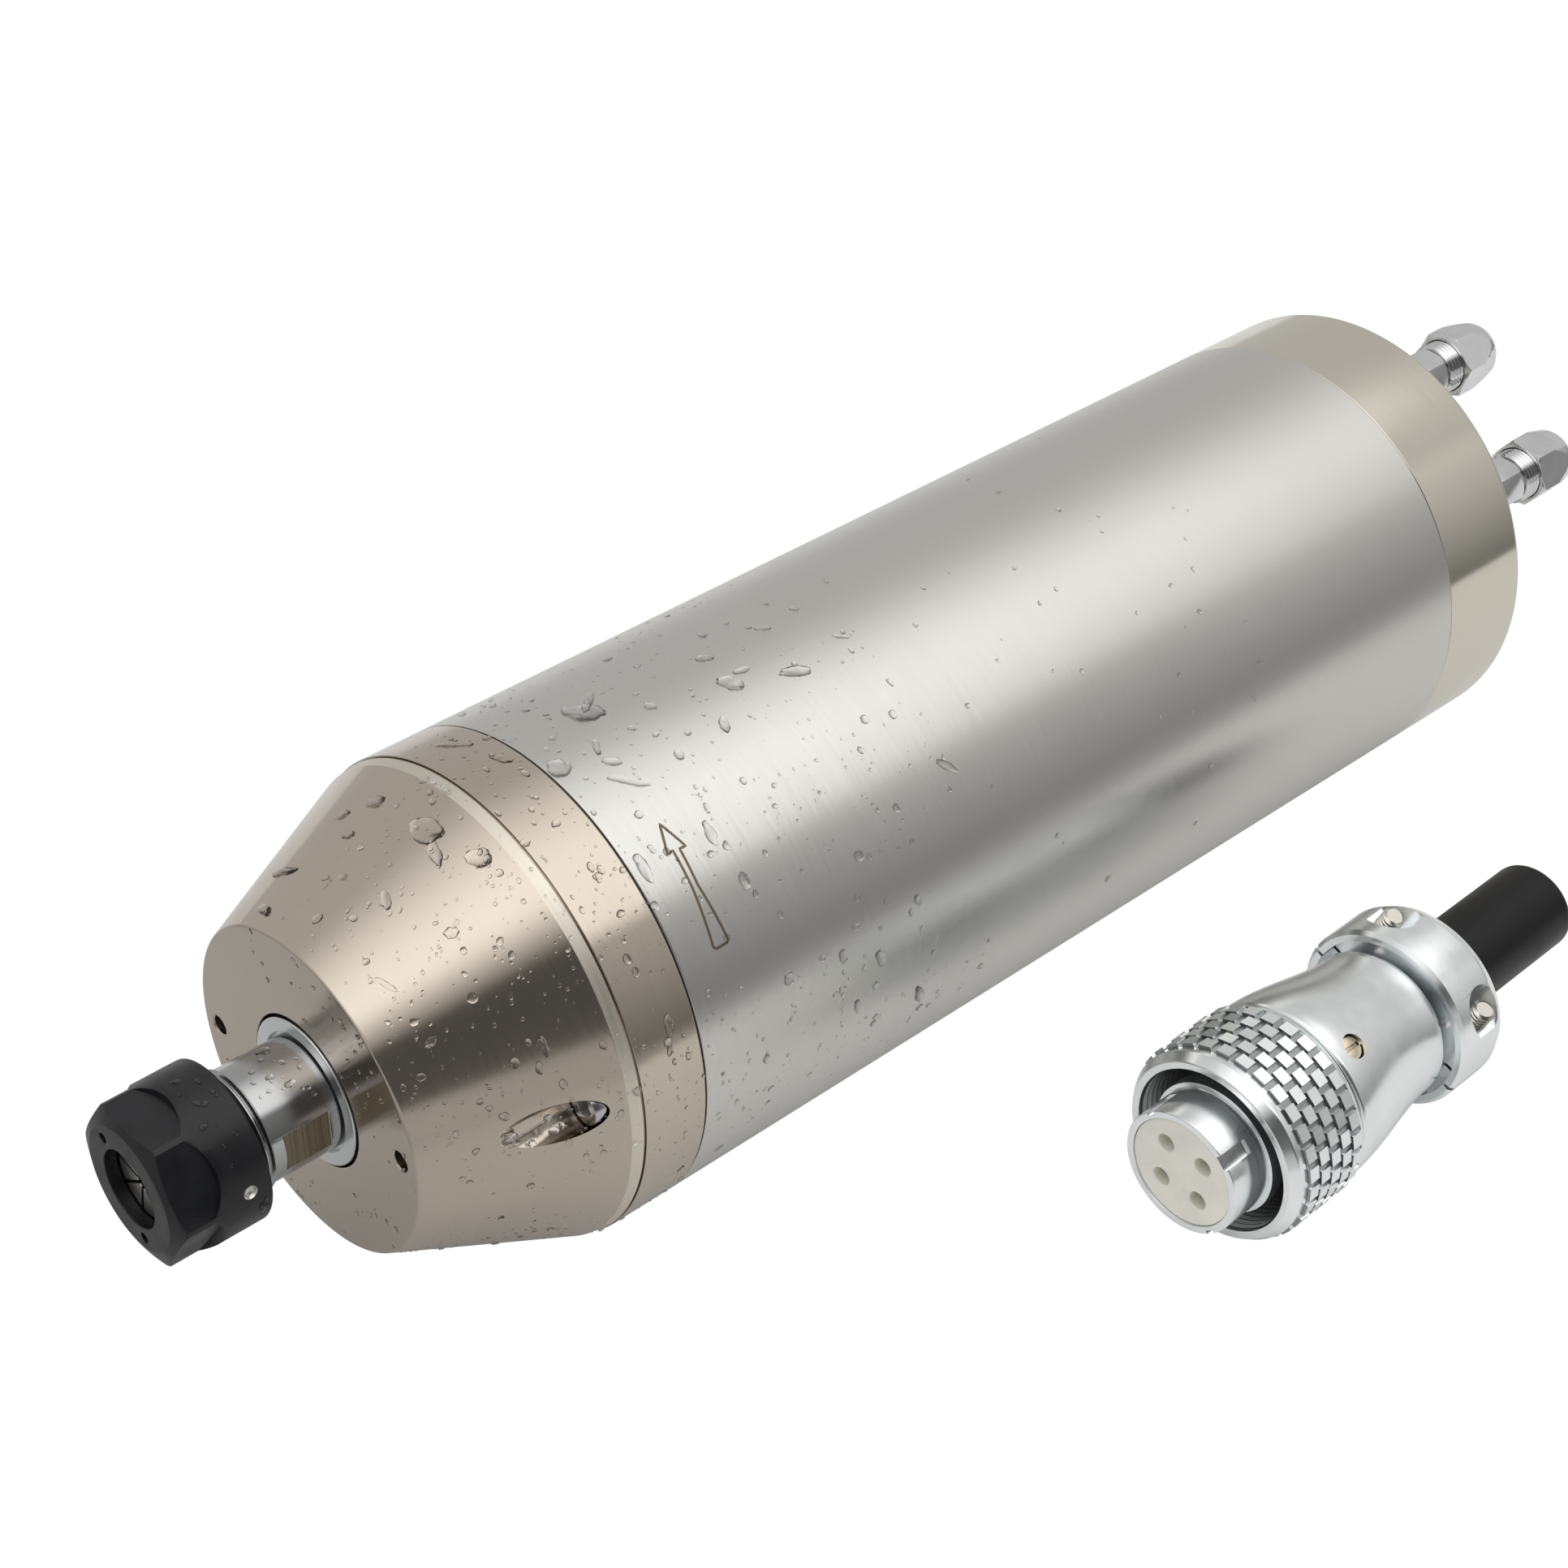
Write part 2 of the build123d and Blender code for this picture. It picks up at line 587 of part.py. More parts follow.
def stator_windings():
    front = ring(WIND_X0, CORE_X0 - WIND_LIFT, WIND_IN_R, WIND_OUT_R)
    rear = ring(CORE_X1 + WIND_LIFT, CORE_X1 + WIND_REAR, WIND_IN_R, WIND_OUT_R)
    body = front + rear
    mid = (SLOT_MOUTH_R + SLOT_TOP_R) / 2
    for i in range(SLOTS):
        bar = Pos((CORE_X0 + CORE_X1) / 2, 0, mid) * Box(
            CORE_X1 - CORE_X0 + 8 * WIND_LIFT, SLOT_W - 2 * SLOT_LINER,
            SLOT_TOP_R - SLOT_MOUTH_R - 2 * SLOT_LINER)
        body += Rot(i * 360 / SLOTS, 0, 0) * bar
    return body


def taper_r(x, gap=0.0):
    """Radius of the 8 degree collet seat at a station."""
    return TAPER_MOUTH_R - gap - (x - SHAFT_FACE_X) * math.tan(math.radians(TAPER_DEG))


def rotor_shaft():
    taper_end = SHAFT_FACE_X + TAPER_DEPTH
    tail_x = RB_END_X + SHAFT_TAIL
    ring_x = CORE_X1 + END_RING_LENGTH
    edge = THREAD_EDGE
    body = turned([
        (SHAFT_FACE_X, 0), (SHAFT_FACE_X, THREAD_R - edge), (SHAFT_FACE_X + edge, THREAD_R),
        (THREAD_END_X - edge, THREAD_R), (THREAD_END_X, SHAFT_R), (DUST_RING_REAR_X, SHAFT_R),
        (DUST_RING_REAR_X, FB_BORE_R), (FB_END_X, FB_BORE_R), (FB_END_X, ROTOR_SHAFT_R),
        (ring_x, ROTOR_SHAFT_R), (ring_x, REAR_JOURNAL_R), (RB_X0, REAR_JOURNAL_R), (RB_X0, RB_BORE_R),
        (tail_x, RB_BORE_R), (tail_x, 0)])
    body -= turned([(SHAFT_FACE_X, 0), (SHAFT_FACE_X, taper_r(SHAFT_FACE_X)),
                    (taper_end, taper_r(taper_end)), (taper_end, SHAFT_HOLE_R),
                    (SHAFT_HOLE_END_X, SHAFT_HOLE_R), (SHAFT_HOLE_END_X, 0)])
    for cutter in thread_grooves(THREAD_END_X - THREAD_RUN, THREAD_END_X, THREAD_PITCH, THREAD_R, THREAD_DEPTH):
        body -= cutter
    for side in (-1, 1):
        body -= Pos((FLAT_X0 + FLAT_X1) / 2, side * (FLAT_HALF + SHAFT_R / 2), 0) * Box(
            FLAT_LENGTH, SHAFT_R, 4 * SHAFT_R)
    return body


def dust_ring():
    return turned([
        (DUST_RING_FRONT_X + DUST_RING_STEP, SHAFT_R + PRESS_GAP),
        (DUST_RING_FRONT_X + DUST_RING_STEP, DUST_RING_LIP_R),
        (DUST_RING_FRONT_X, DUST_RING_LIP_R), (DUST_RING_FRONT_X, DUST_RING_R - TUBE_EDGE),
        (DUST_RING_FRONT_X + TUBE_EDGE, DUST_RING_R), (DUST_RING_REAR_X - SLIP, DUST_RING_R),
        (DUST_RING_REAR_X - SLIP, SHAFT_R + PRESS_GAP)])


def rotor_core():
    return ring(CORE_X0, CORE_X1, ROTOR_SHAFT_R + PRESS_GAP, ROTOR_R)


def rotor_end_rings():
    inner = ROTOR_SHAFT_R + PRESS_GAP
    outer = ROTOR_R - END_RING_STEP
    front = ring(CORE_X0 - END_RING_LENGTH, CORE_X0 - PRESS_GAP, inner, outer)
    rear = ring(CORE_X1 + PRESS_GAP, CORE_X1 + END_RING_LENGTH, inner, outer)
    return Compound(children=[front, rear])


def bearing_rows(x0, width):
    """Start stations of the two rows of a bearing pair."""
    return (x0, x0 + width + FB_GAP)


def outer_rings(x0, width, bore_r, outer_r, ball_r):
    rings = []
    mid_r = (bore_r + outer_r) / 2
    for x in bearing_rows(x0, width):
        blank = ring(x, x + width, mid_r + ball_r * RACE_SHARE, outer_r)
        groove = Pos(x + width / 2, 0, 0) * Rot(0, 90, 0) * Torus(mid_r, ball_r + BALL_GAP)
        rings.append(blank - groove)
    return Compound(children=rings)


def inner_rings(x0, width, bore_r, outer_r, ball_r):
    rings = []
    mid_r = (bore_r + outer_r) / 2
    for x in bearing_rows(x0, width):
        blank = ring(x, x + width, bore_r + PRESS_GAP, mid_r - ball_r * RACE_SHARE)
        groove = Pos(x + width / 2, 0, 0) * Rot(0, 90, 0) * Torus(mid_r, ball_r + BALL_GAP)
        rings.append(blank - groove)
    return Compound(children=rings)


def bearing_balls(x0, width, bore_r, outer_r, ball_r, count):
    balls = []
    mid_r = (bore_r + outer_r) / 2
    for x in bearing_rows(x0, width):
        for i in range(count):
            y, z = polar(mid_r, i * 360 / count)
            balls.append(Pos(x + width / 2, y, z) * Sphere(ball_r))
    return Compound(children=balls)


def bearing_cages(x0, width, bore_r, outer_r, ball_r, count):
    cages = []
    mid_r = (bore_r + outer_r) / 2
    for x in bearing_rows(x0, width):
        cage = ring(x + CAGE_SETBACK, x + width - CAGE_SETBACK, mid_r - CAGE_HALF, mid_r + CAGE_HALF)
        for i in range(count):
            y, z = polar(mid_r, i * 360 / count)
            pocket = Rot(90 + i * 360 / count, 0, 0) * Cylinder(ball_r + BALL_GAP, 8 * CAGE_HALF)
            cage -= Pos(x + width / 2, y, z) * pocket
        cages.append(cage)
    return Compound(children=cages)


def rear_lock_nut():
    x0 = RB_END_X + LOCK_NUT_GAP
    return ring(x0, x0 + LOCK_NUT_LENGTH, RB_BORE_R + PRESS_GAP, LOCK_NUT_R)


def rear_housing():
    bore = RB_OUTER_R + SLIP
    lip = SPIGOT_R - REAR_HOUSING_LIP_WALL
    lip_x = REAR_HOUSING_X0 + REAR_HOUSING_LIP
    end_x = TUBE_END_X - TUBE_EDGE
    shoulder_x = RB_END_X + REAR_HOUSING_SHOULDER
    shoulder = bore + REAR_HOUSING_SHOULDER
    return turned([
        (lip_x, bore), (lip_x, lip), (REAR_HOUSING_X0, lip), (REAR_HOUSING_X0, SPIGOT_R), (end_x, SPIGOT_R),
        (end_x, shoulder), (shoulder_x, shoulder), (shoulder_x, bore)])


def preload_spring():
    x0 = RB_END_X + SLIP
    return turned([(x0, RB_OUTER_R - TRAP), (x0 + SPRING_SHEET, RB_OUTER_R - 2 * SLIP),
                   (x0 + SPRING_RISE, SPRING_IN_R), (x0 + SPRING_RISE - SPRING_SHEET, SPRING_IN_R - 0.2)])


def spring_plate():
    x0 = RB_END_X + SPRING_RISE + 4 * SLIP
    return ring(x0, x0 + PLATE_THICK, PLATE_IN_R, RB_OUTER_R - 4 * SLIP)


def rear_cap():
    body = turned([
        (TUBE_END_X + SLIP, CAP_CAVITY_R), (TUBE_END_X + SLIP, BODY_R - EDGE), (TUBE_END_X + EDGE, BODY_R),
        (REAR_X - CAP_EDGE, BODY_R), (REAR_X, BODY_R - CAP_EDGE), (REAR_X, 0), (REAR_X - CAP_WALL, 0),
        (REAR_X - CAP_WALL, CAP_CAVITY_R)])
    for angle in FIT_ANGLES:
        y, z = polar(FIT_RADIUS, angle)
        body -= rod(FIT_ROOT_X - TRAP, REAR_X + CUT, FIT_ROOT_R + THREAD_GAP, y, z)
        body -= rod(TUBE_END_X - CUT, REAR_X, FIT_CHANNEL_R, y, z)
    for angle in CAP_SCREW_ANGLES:
        y, z = polar(CAP_SCREW_RADIUS, angle)
        body -= rod(REAR_X - CAP_HEAD - CAP_HEAD_SINK, REAR_X + CUT, CAP_HEAD_R + HEAD_GAP, y, z)
        body -= rod(TUBE_END_X - CUT, REAR_X, CAP_SCREW_R + SLIP, y, z)
    body -= rod(REAR_X - CAP_WALL - CUT, REAR_X + CUT, SOCKET_BORE_R, SOCKET_Y, SOCKET_Z)
    for i in range(4):
        y, z = polar(SOCKET_SCREW_CIRCLE, 45 + 90 * i)
        body -= rod(REAR_X - SOCKET_SCREW_GRIP - CUT, REAR_X + CUT, SOCKET_SCREW_R + SLIP,
                    SOCKET_Y + y, SOCKET_Z + z)
    return body


def rear_cap_screws():
    screws = []
    for angle in CAP_SCREW_ANGLES:
        y, z = polar(CAP_SCREW_RADIUS, angle)
        seat = REAR_X - CAP_HEAD - CAP_HEAD_SINK
        screw = cap_screw(0, CAP_SCREW_LENGTH, CAP_SCREW_R, CAP_HEAD_R, CAP_HEAD, 0, 0)
        screws.append(Pos(seat, y, z) * Rot(0, 180, 0) * screw)
    return Compound(children=screws)


def rear_housing_bored():
    body = rear_housing()
    for angle in CAP_SCREW_ANGLES:
        y, z = polar(CAP_SCREW_RADIUS, angle)
        body -= rod(REAR_X - CAP_HEAD - CAP_SCREW_LENGTH - CAP_SCREW_HOLE - CAP_HEAD_SINK, TUBE_END_X + CUT,
                    CAP_SCREW_R + SLIP, y, z)
    for angle in FIT_ANGLES:
        y, z = polar(FIT_RADIUS, angle)
        body -= rod(REAR_HOUSING_X0 - CUT, TUBE_END_X + CUT, FIT_CHANNEL_R, y, z)
    return body


def water_fittings():
    pieces = []
    for angle in FIT_ANGLES:
        y, z = polar(FIT_RADIUS, angle)
        body = hex_rod(REAR_X + SLIP, FIT_HEX_END_X, FIT_HEX_APOTHEM, FIT_HEX_TURN)
        corner = FIT_HEX_APOTHEM + FIT_HEX_ROUND
        keep = turned([(REAR_X, 0), (REAR_X, corner), (FIT_HEX_END_X - FIT_HEX_EDGE, corner),
                       (FIT_HEX_END_X, corner - FIT_HEX_EDGE * 0.8), (FIT_HEX_END_X, 0)])
        body = body & keep
        body += rod(FIT_ROOT_X, REAR_X + CUT, FIT_ROOT_R)
        body += rod(FIT_HEX_END_X - FIT_THREAD_EDGE, FIT_THREAD_X0 + FIT_THREAD_EDGE, FIT_NECK_R)
        root = FIT_THREAD_R - FIT_THREAD_EDGE
        body += turned([(FIT_THREAD_X0, 0), (FIT_THREAD_X0, root),
                        (FIT_THREAD_X0 + FIT_THREAD_EDGE, FIT_THREAD_R),
                        (FIT_THREAD_X1 - FIT_THREAD_EDGE, FIT_THREAD_R), (FIT_THREAD_X1, root),
                        (FIT_THREAD_X1, 0)])
        body += turned([(FIT_THREAD_X1 - CUT, 0), (FIT_THREAD_X1 - CUT, FIT_TIP_R),
                        (FIT_TIP_X, FIT_TIP_R - FIT_TIP_EDGE), (FIT_TIP_X, 0)])
        for cutter in thread_grooves(FIT_THREAD_X0 + FIT_THREAD_EDGE, FNUT_X0 + FIT_NECK, FIT_THREAD_PITCH,
                                     FIT_THREAD_R, FIT_THREAD_DEPTH):
            body -= cutter
        body -= rod(FIT_ROOT_X - CUT, FIT_TIP_X + CUT, FIT_BORE_R)
        pieces.append(Pos(0, y, z) * body)
    return Compound(children=pieces)


def fitting_nut(index):
    y, z = polar(FIT_RADIUS, FIT_ANGLES[index])
    corner = FNUT_APOTHEM / math.cos(math.radians(30))
    body = hex_rod(FNUT_X0, FNUT_X1, FNUT_APOTHEM, FNUT_HEX_DEG[index])
    edge = FNUT_EDGE
    keep = turned([(FNUT_X0, 0), (FNUT_X0, FNUT_APOTHEM), (FNUT_X0 + edge, corner), (FNUT_DOME_X, corner),
                   (FNUT_DOME_X + FNUT_DOME_RUN, corner - edge), (FNUT_X1 - 3 * edge, FNUT_END_R + 1.7 * edge),
                   (FNUT_X1 - edge, FNUT_END_R + 0.4 * edge), (FNUT_X1, FNUT_END_R - 0.9 * edge),
                   (FNUT_X1, 0)])
    body = body & keep
    bore = FIT_THREAD_R + THREAD_GAP
    body -= turned([(FNUT_X0, 0), (FNUT_X0, bore + TRAP), (FNUT_X0 + TRAP, bore),
                    (FIT_THREAD_X1 + FIT_THREAD_EDGE, bore),
                    (FNUT_MOUTH_X - TRAP, FNUT_MOUTH_R + 2 * TRAP), (FNUT_MOUTH_X, FNUT_MOUTH_R),
                    (FNUT_X1, FNUT_MOUTH_R), (FNUT_X1, 0)])
    return Pos(0, y, z) * body


def fitting_ferrule(index):
    y, z = polar(FIT_RADIUS, FIT_ANGLES[index])
    x0 = FIT_THREAD_X1 + 2 * SLIP
    x1 = x0 + FERRULE_LENGTH
    outer = FIT_THREAD_R - FERRULE_GAP
    body = turned([(x0, FNUT_MOUTH_R), (x0, outer), (x0 + 0.3 * FERRULE_LENGTH, outer),
                   (x1, FNUT_MOUTH_R + FERRULE_LENGTH / 2), (x1, FNUT_MOUTH_R)])
    return Pos(0, y, z) * body


def flange_screw(gap, top):
    """The countersunk flange screw up to a level, or its hole when grown by a gap."""
    rim_x = REAR_X + SOCKET_FLANGE - 2 * SOCKET_SCREW_SINK
    head = SOCKET_SCREW_HEAD_R + gap
    shank = SOCKET_SCREW_R + gap
    return turned([(REAR_X - SOCKET_SCREW_GRIP, 0), (REAR_X - SOCKET_SCREW_GRIP, shank),
                   (rim_x - (head - shank), shank), (rim_x, head), (top, head), (top, 0)])


def socket_shell():
    body = turned([
        (REAR_X + SLIP, SOCKET_BORE_R), (REAR_X + SLIP, SOCKET_FLANGE_R),
        (REAR_X + SOCKET_FLANGE, SOCKET_FLANGE_R),
        (REAR_X + SOCKET_FLANGE, SOCKET_THREAD_R), (SOCKET_END_X - SOCKET_EDGE, SOCKET_THREAD_R),
        (SOCKET_END_X, SOCKET_THREAD_R - SOCKET_EDGE), (SOCKET_END_X, SOCKET_BORE_R)])
    for i in range(4):
        y, z = polar(SOCKET_SCREW_CIRCLE, 45 + 90 * i)
        body -= Pos(0, y, z) * flange_screw(SLIP, REAR_X + SOCKET_FLANGE + CUT)
    return Pos(0, SOCKET_Y, SOCKET_Z) * body


def socket_screws():
    screws = []
    for i in range(4):
        y, z = polar(SOCKET_SCREW_CIRCLE, 45 + 90 * i)
        screw = flange_screw(0, REAR_X + SOCKET_FLANGE - SOCKET_SCREW_SINK)
        screw -= Pos(REAR_X + SOCKET_FLANGE, 0, 0) * Box(
            2 * SOCKET_SCREW_SLOT, SOCKET_SCREW_SLOT, 3 * SOCKET_SCREW_HEAD_R)
        screws.append(Pos(0, SOCKET_Y + y, SOCKET_Z + z) * screw)
    return Compound(children=screws)


def socket_insert():
    body = rod(REAR_X - SOCKET_INSERT_BACK, SOCKET_INSERT_X, SOCKET_BORE_R - SLIP)
    for angle in PIN_ANGLES:
        y, z = polar(PIN_CIRCLE_R, angle)
        body -= rod(REAR_X - SOCKET_PIN_BACK, SOCKET_INSERT_X + CUT, SOCKET_PIN_R + PRESS_GAP, y, z)
    return Pos(0, SOCKET_Y, SOCKET_Z) * body


def socket_pins():
    pins = []
    for angle in PIN_ANGLES:
        y, z = polar(PIN_CIRCLE_R, angle)
        back = REAR_X - SOCKET_PIN_BACK
        pin = turned([(back, 0), (back, SOCKET_PIN_R), (SOCKET_PIN_END_X - SOCKET_PIN_EDGE, SOCKET_PIN_R),
                      (SOCKET_PIN_END_X, SOCKET_PIN_R - SOCKET_PIN_EDGE), (SOCKET_PIN_END_X, 0)])
        pins.append(Pos(0, SOCKET_Y + y, SOCKET_Z + z) * pin)
    return Compound(children=pins)


def collet():
    rim_x = SHAFT_FACE_X - COLLET_RIM_BACK
    groove_end = SHAFT_FACE_X + COLLET_SEAT_STEP
    cone_end = rim_x - NUT_LIP_REAR
    body = turned([
        (COLLET_FACE_X, 0), (COLLET_FACE_X, COLLET_FACE_R), (cone_end, COLLET_RIM_R),
        (rim_x, COLLET_RIM_R), (rim_x, COLLET_GROOVE_R), (groove_end, COLLET_GROOVE_R),
        (groove_end, taper_r(groove_end, RUN)), (COLLET_END_X, taper_r(COLLET_END_X, RUN)),
        (COLLET_END_X, 0)])
    bore_end = COLLET_FACE_X + TOOL_BORE_LENGTH
    body -= rod(COLLET_FACE_X - CUT, bore_end + PRESS_GAP, TOOL_R)
    body -= rod(bore_end, COLLET_END_X + CUT, COLLET_BACK_R)
    half = COLLET_SLOTS // 2
    for i in range(half):
        front = Pos((COLLET_FACE_X + COLLET_END_X - COLLET_WEB) / 2, 0, 0) * Box(
            COLLET_LENGTH - COLLET_WEB + PRESS_GAP, COLLET_SLOT, 3 * COLLET_RIM_R)
        body -= Rot(COLLET_SLOT_DEG + i * 180 / half, 0, 0) * front
    return body


def collet_nut():
    lip_front = SHAFT_FACE_X - NUT_LIP_FRONT
    lip_rear = SHAFT_FACE_X - NUT_LIP_REAR
    mouth_end = COLLET_FACE_X - 3 * SLIP
    cone_end = lip_front - EDGE
    inner = COLLET_RIM_R + NUT_RIM_GAP
    bore = THREAD_R + THREAD_GAP
    body = turned([
        (NUT_FRONT_X, NUT_MOUTH_R), (NUT_FRONT_X, NUT_FACE_R), (NUT_FRONT_X + NUT_CHAMFER, NUT_R),
        (NUT_REAR_X - NUT_REAR_EDGE, NUT_R), (NUT_REAR_X, NUT_R - NUT_REAR_EDGE), (NUT_REAR_X, bore + EDGE),
        (NUT_REAR_X - EDGE, bore), (lip_rear, bore), (lip_rear, COLLET_LIP_R), (lip_front, COLLET_LIP_R),
        (lip_front, inner), (cone_end, inner), (mouth_end, NUT_MOUTH_R)])
    for i in range(6):
        cutter = Pos(NUT_FLAT_BACK_X - NUT_FLAT_CUTTER_R, 0, NUT_FLAT_APOTHEM + NUT_WALL) * Cylinder(
            NUT_FLAT_CUTTER_R, 2 * NUT_WALL)
        body -= Rot(NUT_CORNER_DEG + 30 - 90 + 60 * i, 0, 0) * cutter
    for angle in NUT_PIN_ANGLES:
        y, z = polar(NUT_PIN_RADIUS, angle)
        body -= rod(NUT_FRONT_X - CUT, NUT_FRONT_X + NUT_PIN_DEPTH, NUT_PIN_HOLE_R, y, z)
    y, z = polar(NUT_R, NUT_DIMPLE_DEG)
    body -= Pos(NUT_DIMPLE_X, y, z) * Rot(NUT_DIMPLE_DEG - 90, 0, 0) * Cylinder(
        NUT_DIMPLE_R, 2 * NUT_DIMPLE_DEPTH)
    return body


def in_plug(shape):
    """Moves a piece from the plug's own frame to its place on the floor."""
    return Pos(PLUG_X, PLUG_Y, PLUG_Z) * Rot(0, 0, PLUG_YAW) * shape


def plug_sleeve():
    front = -PLUG_SLEEVE_OUT
    inner = PLUG_INSERT_R + SLIP
    collar = PLUG_SLEEVE_R + PLUG_COLLAR
    rear = PLUG_NUT_LIP_X - TRAP
    flange_x = rear - PLUG_FLANGE
    body = turned([
        (front, inner), (front, PLUG_SLEEVE_R - PLUG_SLEEVE_EDGE), (front + PLUG_SLEEVE_EDGE, PLUG_SLEEVE_R),
        (PLUG_COLLAR_X0, PLUG_SLEEVE_R), (PLUG_COLLAR_X0, collar), (PLUG_COLLAR_X1, collar),
        (PLUG_COLLAR_X1, PLUG_SLEEVE_R), (flange_x, PLUG_SLEEVE_R), (flange_x, PLUG_FLANGE_R),
        (rear, PLUG_FLANGE_R), (rear, inner)])
    mid = (PLUG_KEY_LENGTH + front - CUT) / 2
    length = PLUG_KEY_LENGTH - front + CUT
    body -= Rot(PLUG_KEY_DEG, 0, 0) * Pos(mid, PLUG_SLEEVE_R, 0) * Box(length, 2 * PLUG_KEY_DEPTH, PLUG_KEY_W)
    for angle in PLUG_SIDE_KEY_ANGLES:
        body -= Rot(angle, 0, 0) * Pos(mid, PLUG_SLEEVE_R, 0) * Box(
            length, 2 * PLUG_SIDE_KEY_DEPTH, PLUG_SIDE_KEY_W)
    return in_plug(body)


def plug_insert():
    body = rod(0, PLUG_INSERT_END, PLUG_INSERT_R)
    for angle in PIN_ANGLES:
        y, z = polar(PIN_CIRCLE_R, angle)
        body -= rod(-CUT, PLUG_INSERT_END + CUT, PLUG_HOLE_R, y, z)
    return in_plug(body)


def plug_contacts():
    contacts = []
    for angle in PIN_ANGLES:
        y, z = polar(PIN_CIRCLE_R, angle)
        outer = PLUG_HOLE_R - PRESS_GAP
        inner = PLUG_HOLE_R - PLUG_CONTACT_WALL
        tube = turned([(PLUG_CONTACT_X, inner), (PLUG_CONTACT_X, outer), (PLUG_CONTACT_END, outer),
                       (PLUG_CONTACT_END, 0), (PLUG_CONTACT_FLOOR, 0), (PLUG_CONTACT_FLOOR, inner)])
        contacts.append(in_plug(Pos(0, y, z) * tube))
    return Compound(children=contacts)


def plug_coupling_nut():
    bevel_r = PLUG_NUT_R - 0.35 * PLUG_NUT_FACE_STEP
    bevel_x = KNURL_X0 - 0.45 * KNURL_SETBACK
    back_r = PLUG_NUT_R - PLUG_NUT_REAR_EDGE
    body = turned([
        (PLUG_NUT_X0, PLUG_NUT_BORE_R + TRAP), (PLUG_NUT_X0, PLUG_NUT_FACE_R), (bevel_x, bevel_r),
        (KNURL_X0, PLUG_NUT_R), (KNURL_X1, PLUG_NUT_R), (KNURL_X1, PLUG_NUT_R - PLUG_NUT_REAR_EDGE / 3),
        (PLUG_NUT_X1, back_r), (PLUG_NUT_X1, PLUG_NUT_LIP_R), (PLUG_NUT_LIP_X, PLUG_NUT_LIP_R),
        (PLUG_NUT_LIP_X, PLUG_NUT_BORE_R), (PLUG_NUT_X0 + TRAP, PLUG_NUT_BORE_R)])
    half = PLUG_THREAD_PITCH * 0.4
    for i in range(PLUG_THREADS):
        x = PLUG_NUT_X0 + PLUG_THREAD_SETBACK + i * PLUG_THREAD_PITCH
        body -= turned([(x, PLUG_NUT_BORE_R - SLIP), (x + half, PLUG_NUT_BORE_R + PLUG_THREAD_DEPTH),
                        (x + 2 * half, PLUG_NUT_BORE_R - SLIP)])
    row = (KNURL_X1 - KNURL_X0) / KNURL_ROWS
    for i in range(1, KNURL_ROWS):
        x = KNURL_X0 + i * row
        body -= ring(x - KNURL_GROOVE / 2, x + KNURL_GROOVE / 2, PLUG_NUT_R - KNURL_DEPTH, PLUG_NUT_R + CUT)
    return in_plug(body)


def plug_shell():
    neck = PLUG_NUT_LIP_R - TRAP
    front_x = PLUG_NUT_X1 + TRAP
    tail = PLUG_SHELL_REAR_R - PLUG_SHELL_EDGE
    end_x = CLAMP_X0 + CLAMP_RECESS
    body = turned([
        (PLUG_NUT_LIP_X, PLUG_SHELL_BORE_R), (PLUG_NUT_LIP_X, neck), (front_x, neck),
        (front_x, PLUG_SHELL_FRONT_R - PLUG_SHELL_FRONT_EDGE),
        (front_x + PLUG_SHELL_FRONT_EDGE, PLUG_SHELL_FRONT_R),
        (PLUG_SHELL_X1 - PLUG_SHELL_EDGE, PLUG_SHELL_REAR_R), (PLUG_SHELL_X1, tail), (end_x, tail),
        (end_x, PLUG_SHELL_BORE_R)])
    hole = Pos(PLUG_SCREW_X, 0, PLUG_SHELL_FRONT_R) * Cylinder(PLUG_SCREW_R + PLUG_SCREW_GAP, 2 * tail)
    body -= Rot(PLUG_SCREW_DEG - 90, 0, 0) * hole
    return in_plug(body)


def plug_set_screw():
    top = PLUG_SHELL_FRONT_R - PLUG_SCREW_SINK
    body = Pos(PLUG_SCREW_X, 0, top - PLUG_SCREW_LENGTH / 2) * Cylinder(PLUG_SCREW_R, PLUG_SCREW_LENGTH)
    body -= Pos(PLUG_SCREW_X, 0, top) * Box(3 * PLUG_SCREW_R, PLUG_SCREW_SLOT, 2 * PLUG_SCREW_SLOT)
    return in_plug(Rot(PLUG_SCREW_DEG - 90, 0, 0) * body)


def clamp_blank():
    """The rounded clamp collar before it is split."""
    return turned([
        (CLAMP_X0, CLAMP_RECESS_R), (CLAMP_X0, CLAMP_R - CLAMP_EDGE), (CLAMP_X0 + CLAMP_EDGE, CLAMP_R),
        (CLAMP_X1 - CLAMP_BACK, CLAMP_R), (CLAMP_X1 - 0.5 * CLAMP_BACK, CLAMP_R - 0.22 * CLAMP_BACK),
        (CLAMP_X1 - 0.13 * CLAMP_BACK, CLAMP_R - 0.7 * CLAMP_BACK), (CLAMP_X1, CLAMP_R - 1.24 * CLAMP_BACK),
        (CLAMP_X1, BOOT_R + SLIP), (CLAMP_X0 + CLAMP_RECESS + SLIP, BOOT_R + SLIP),
        (CLAMP_X0 + CLAMP_RECESS + SLIP, CLAMP_RECESS_R)])


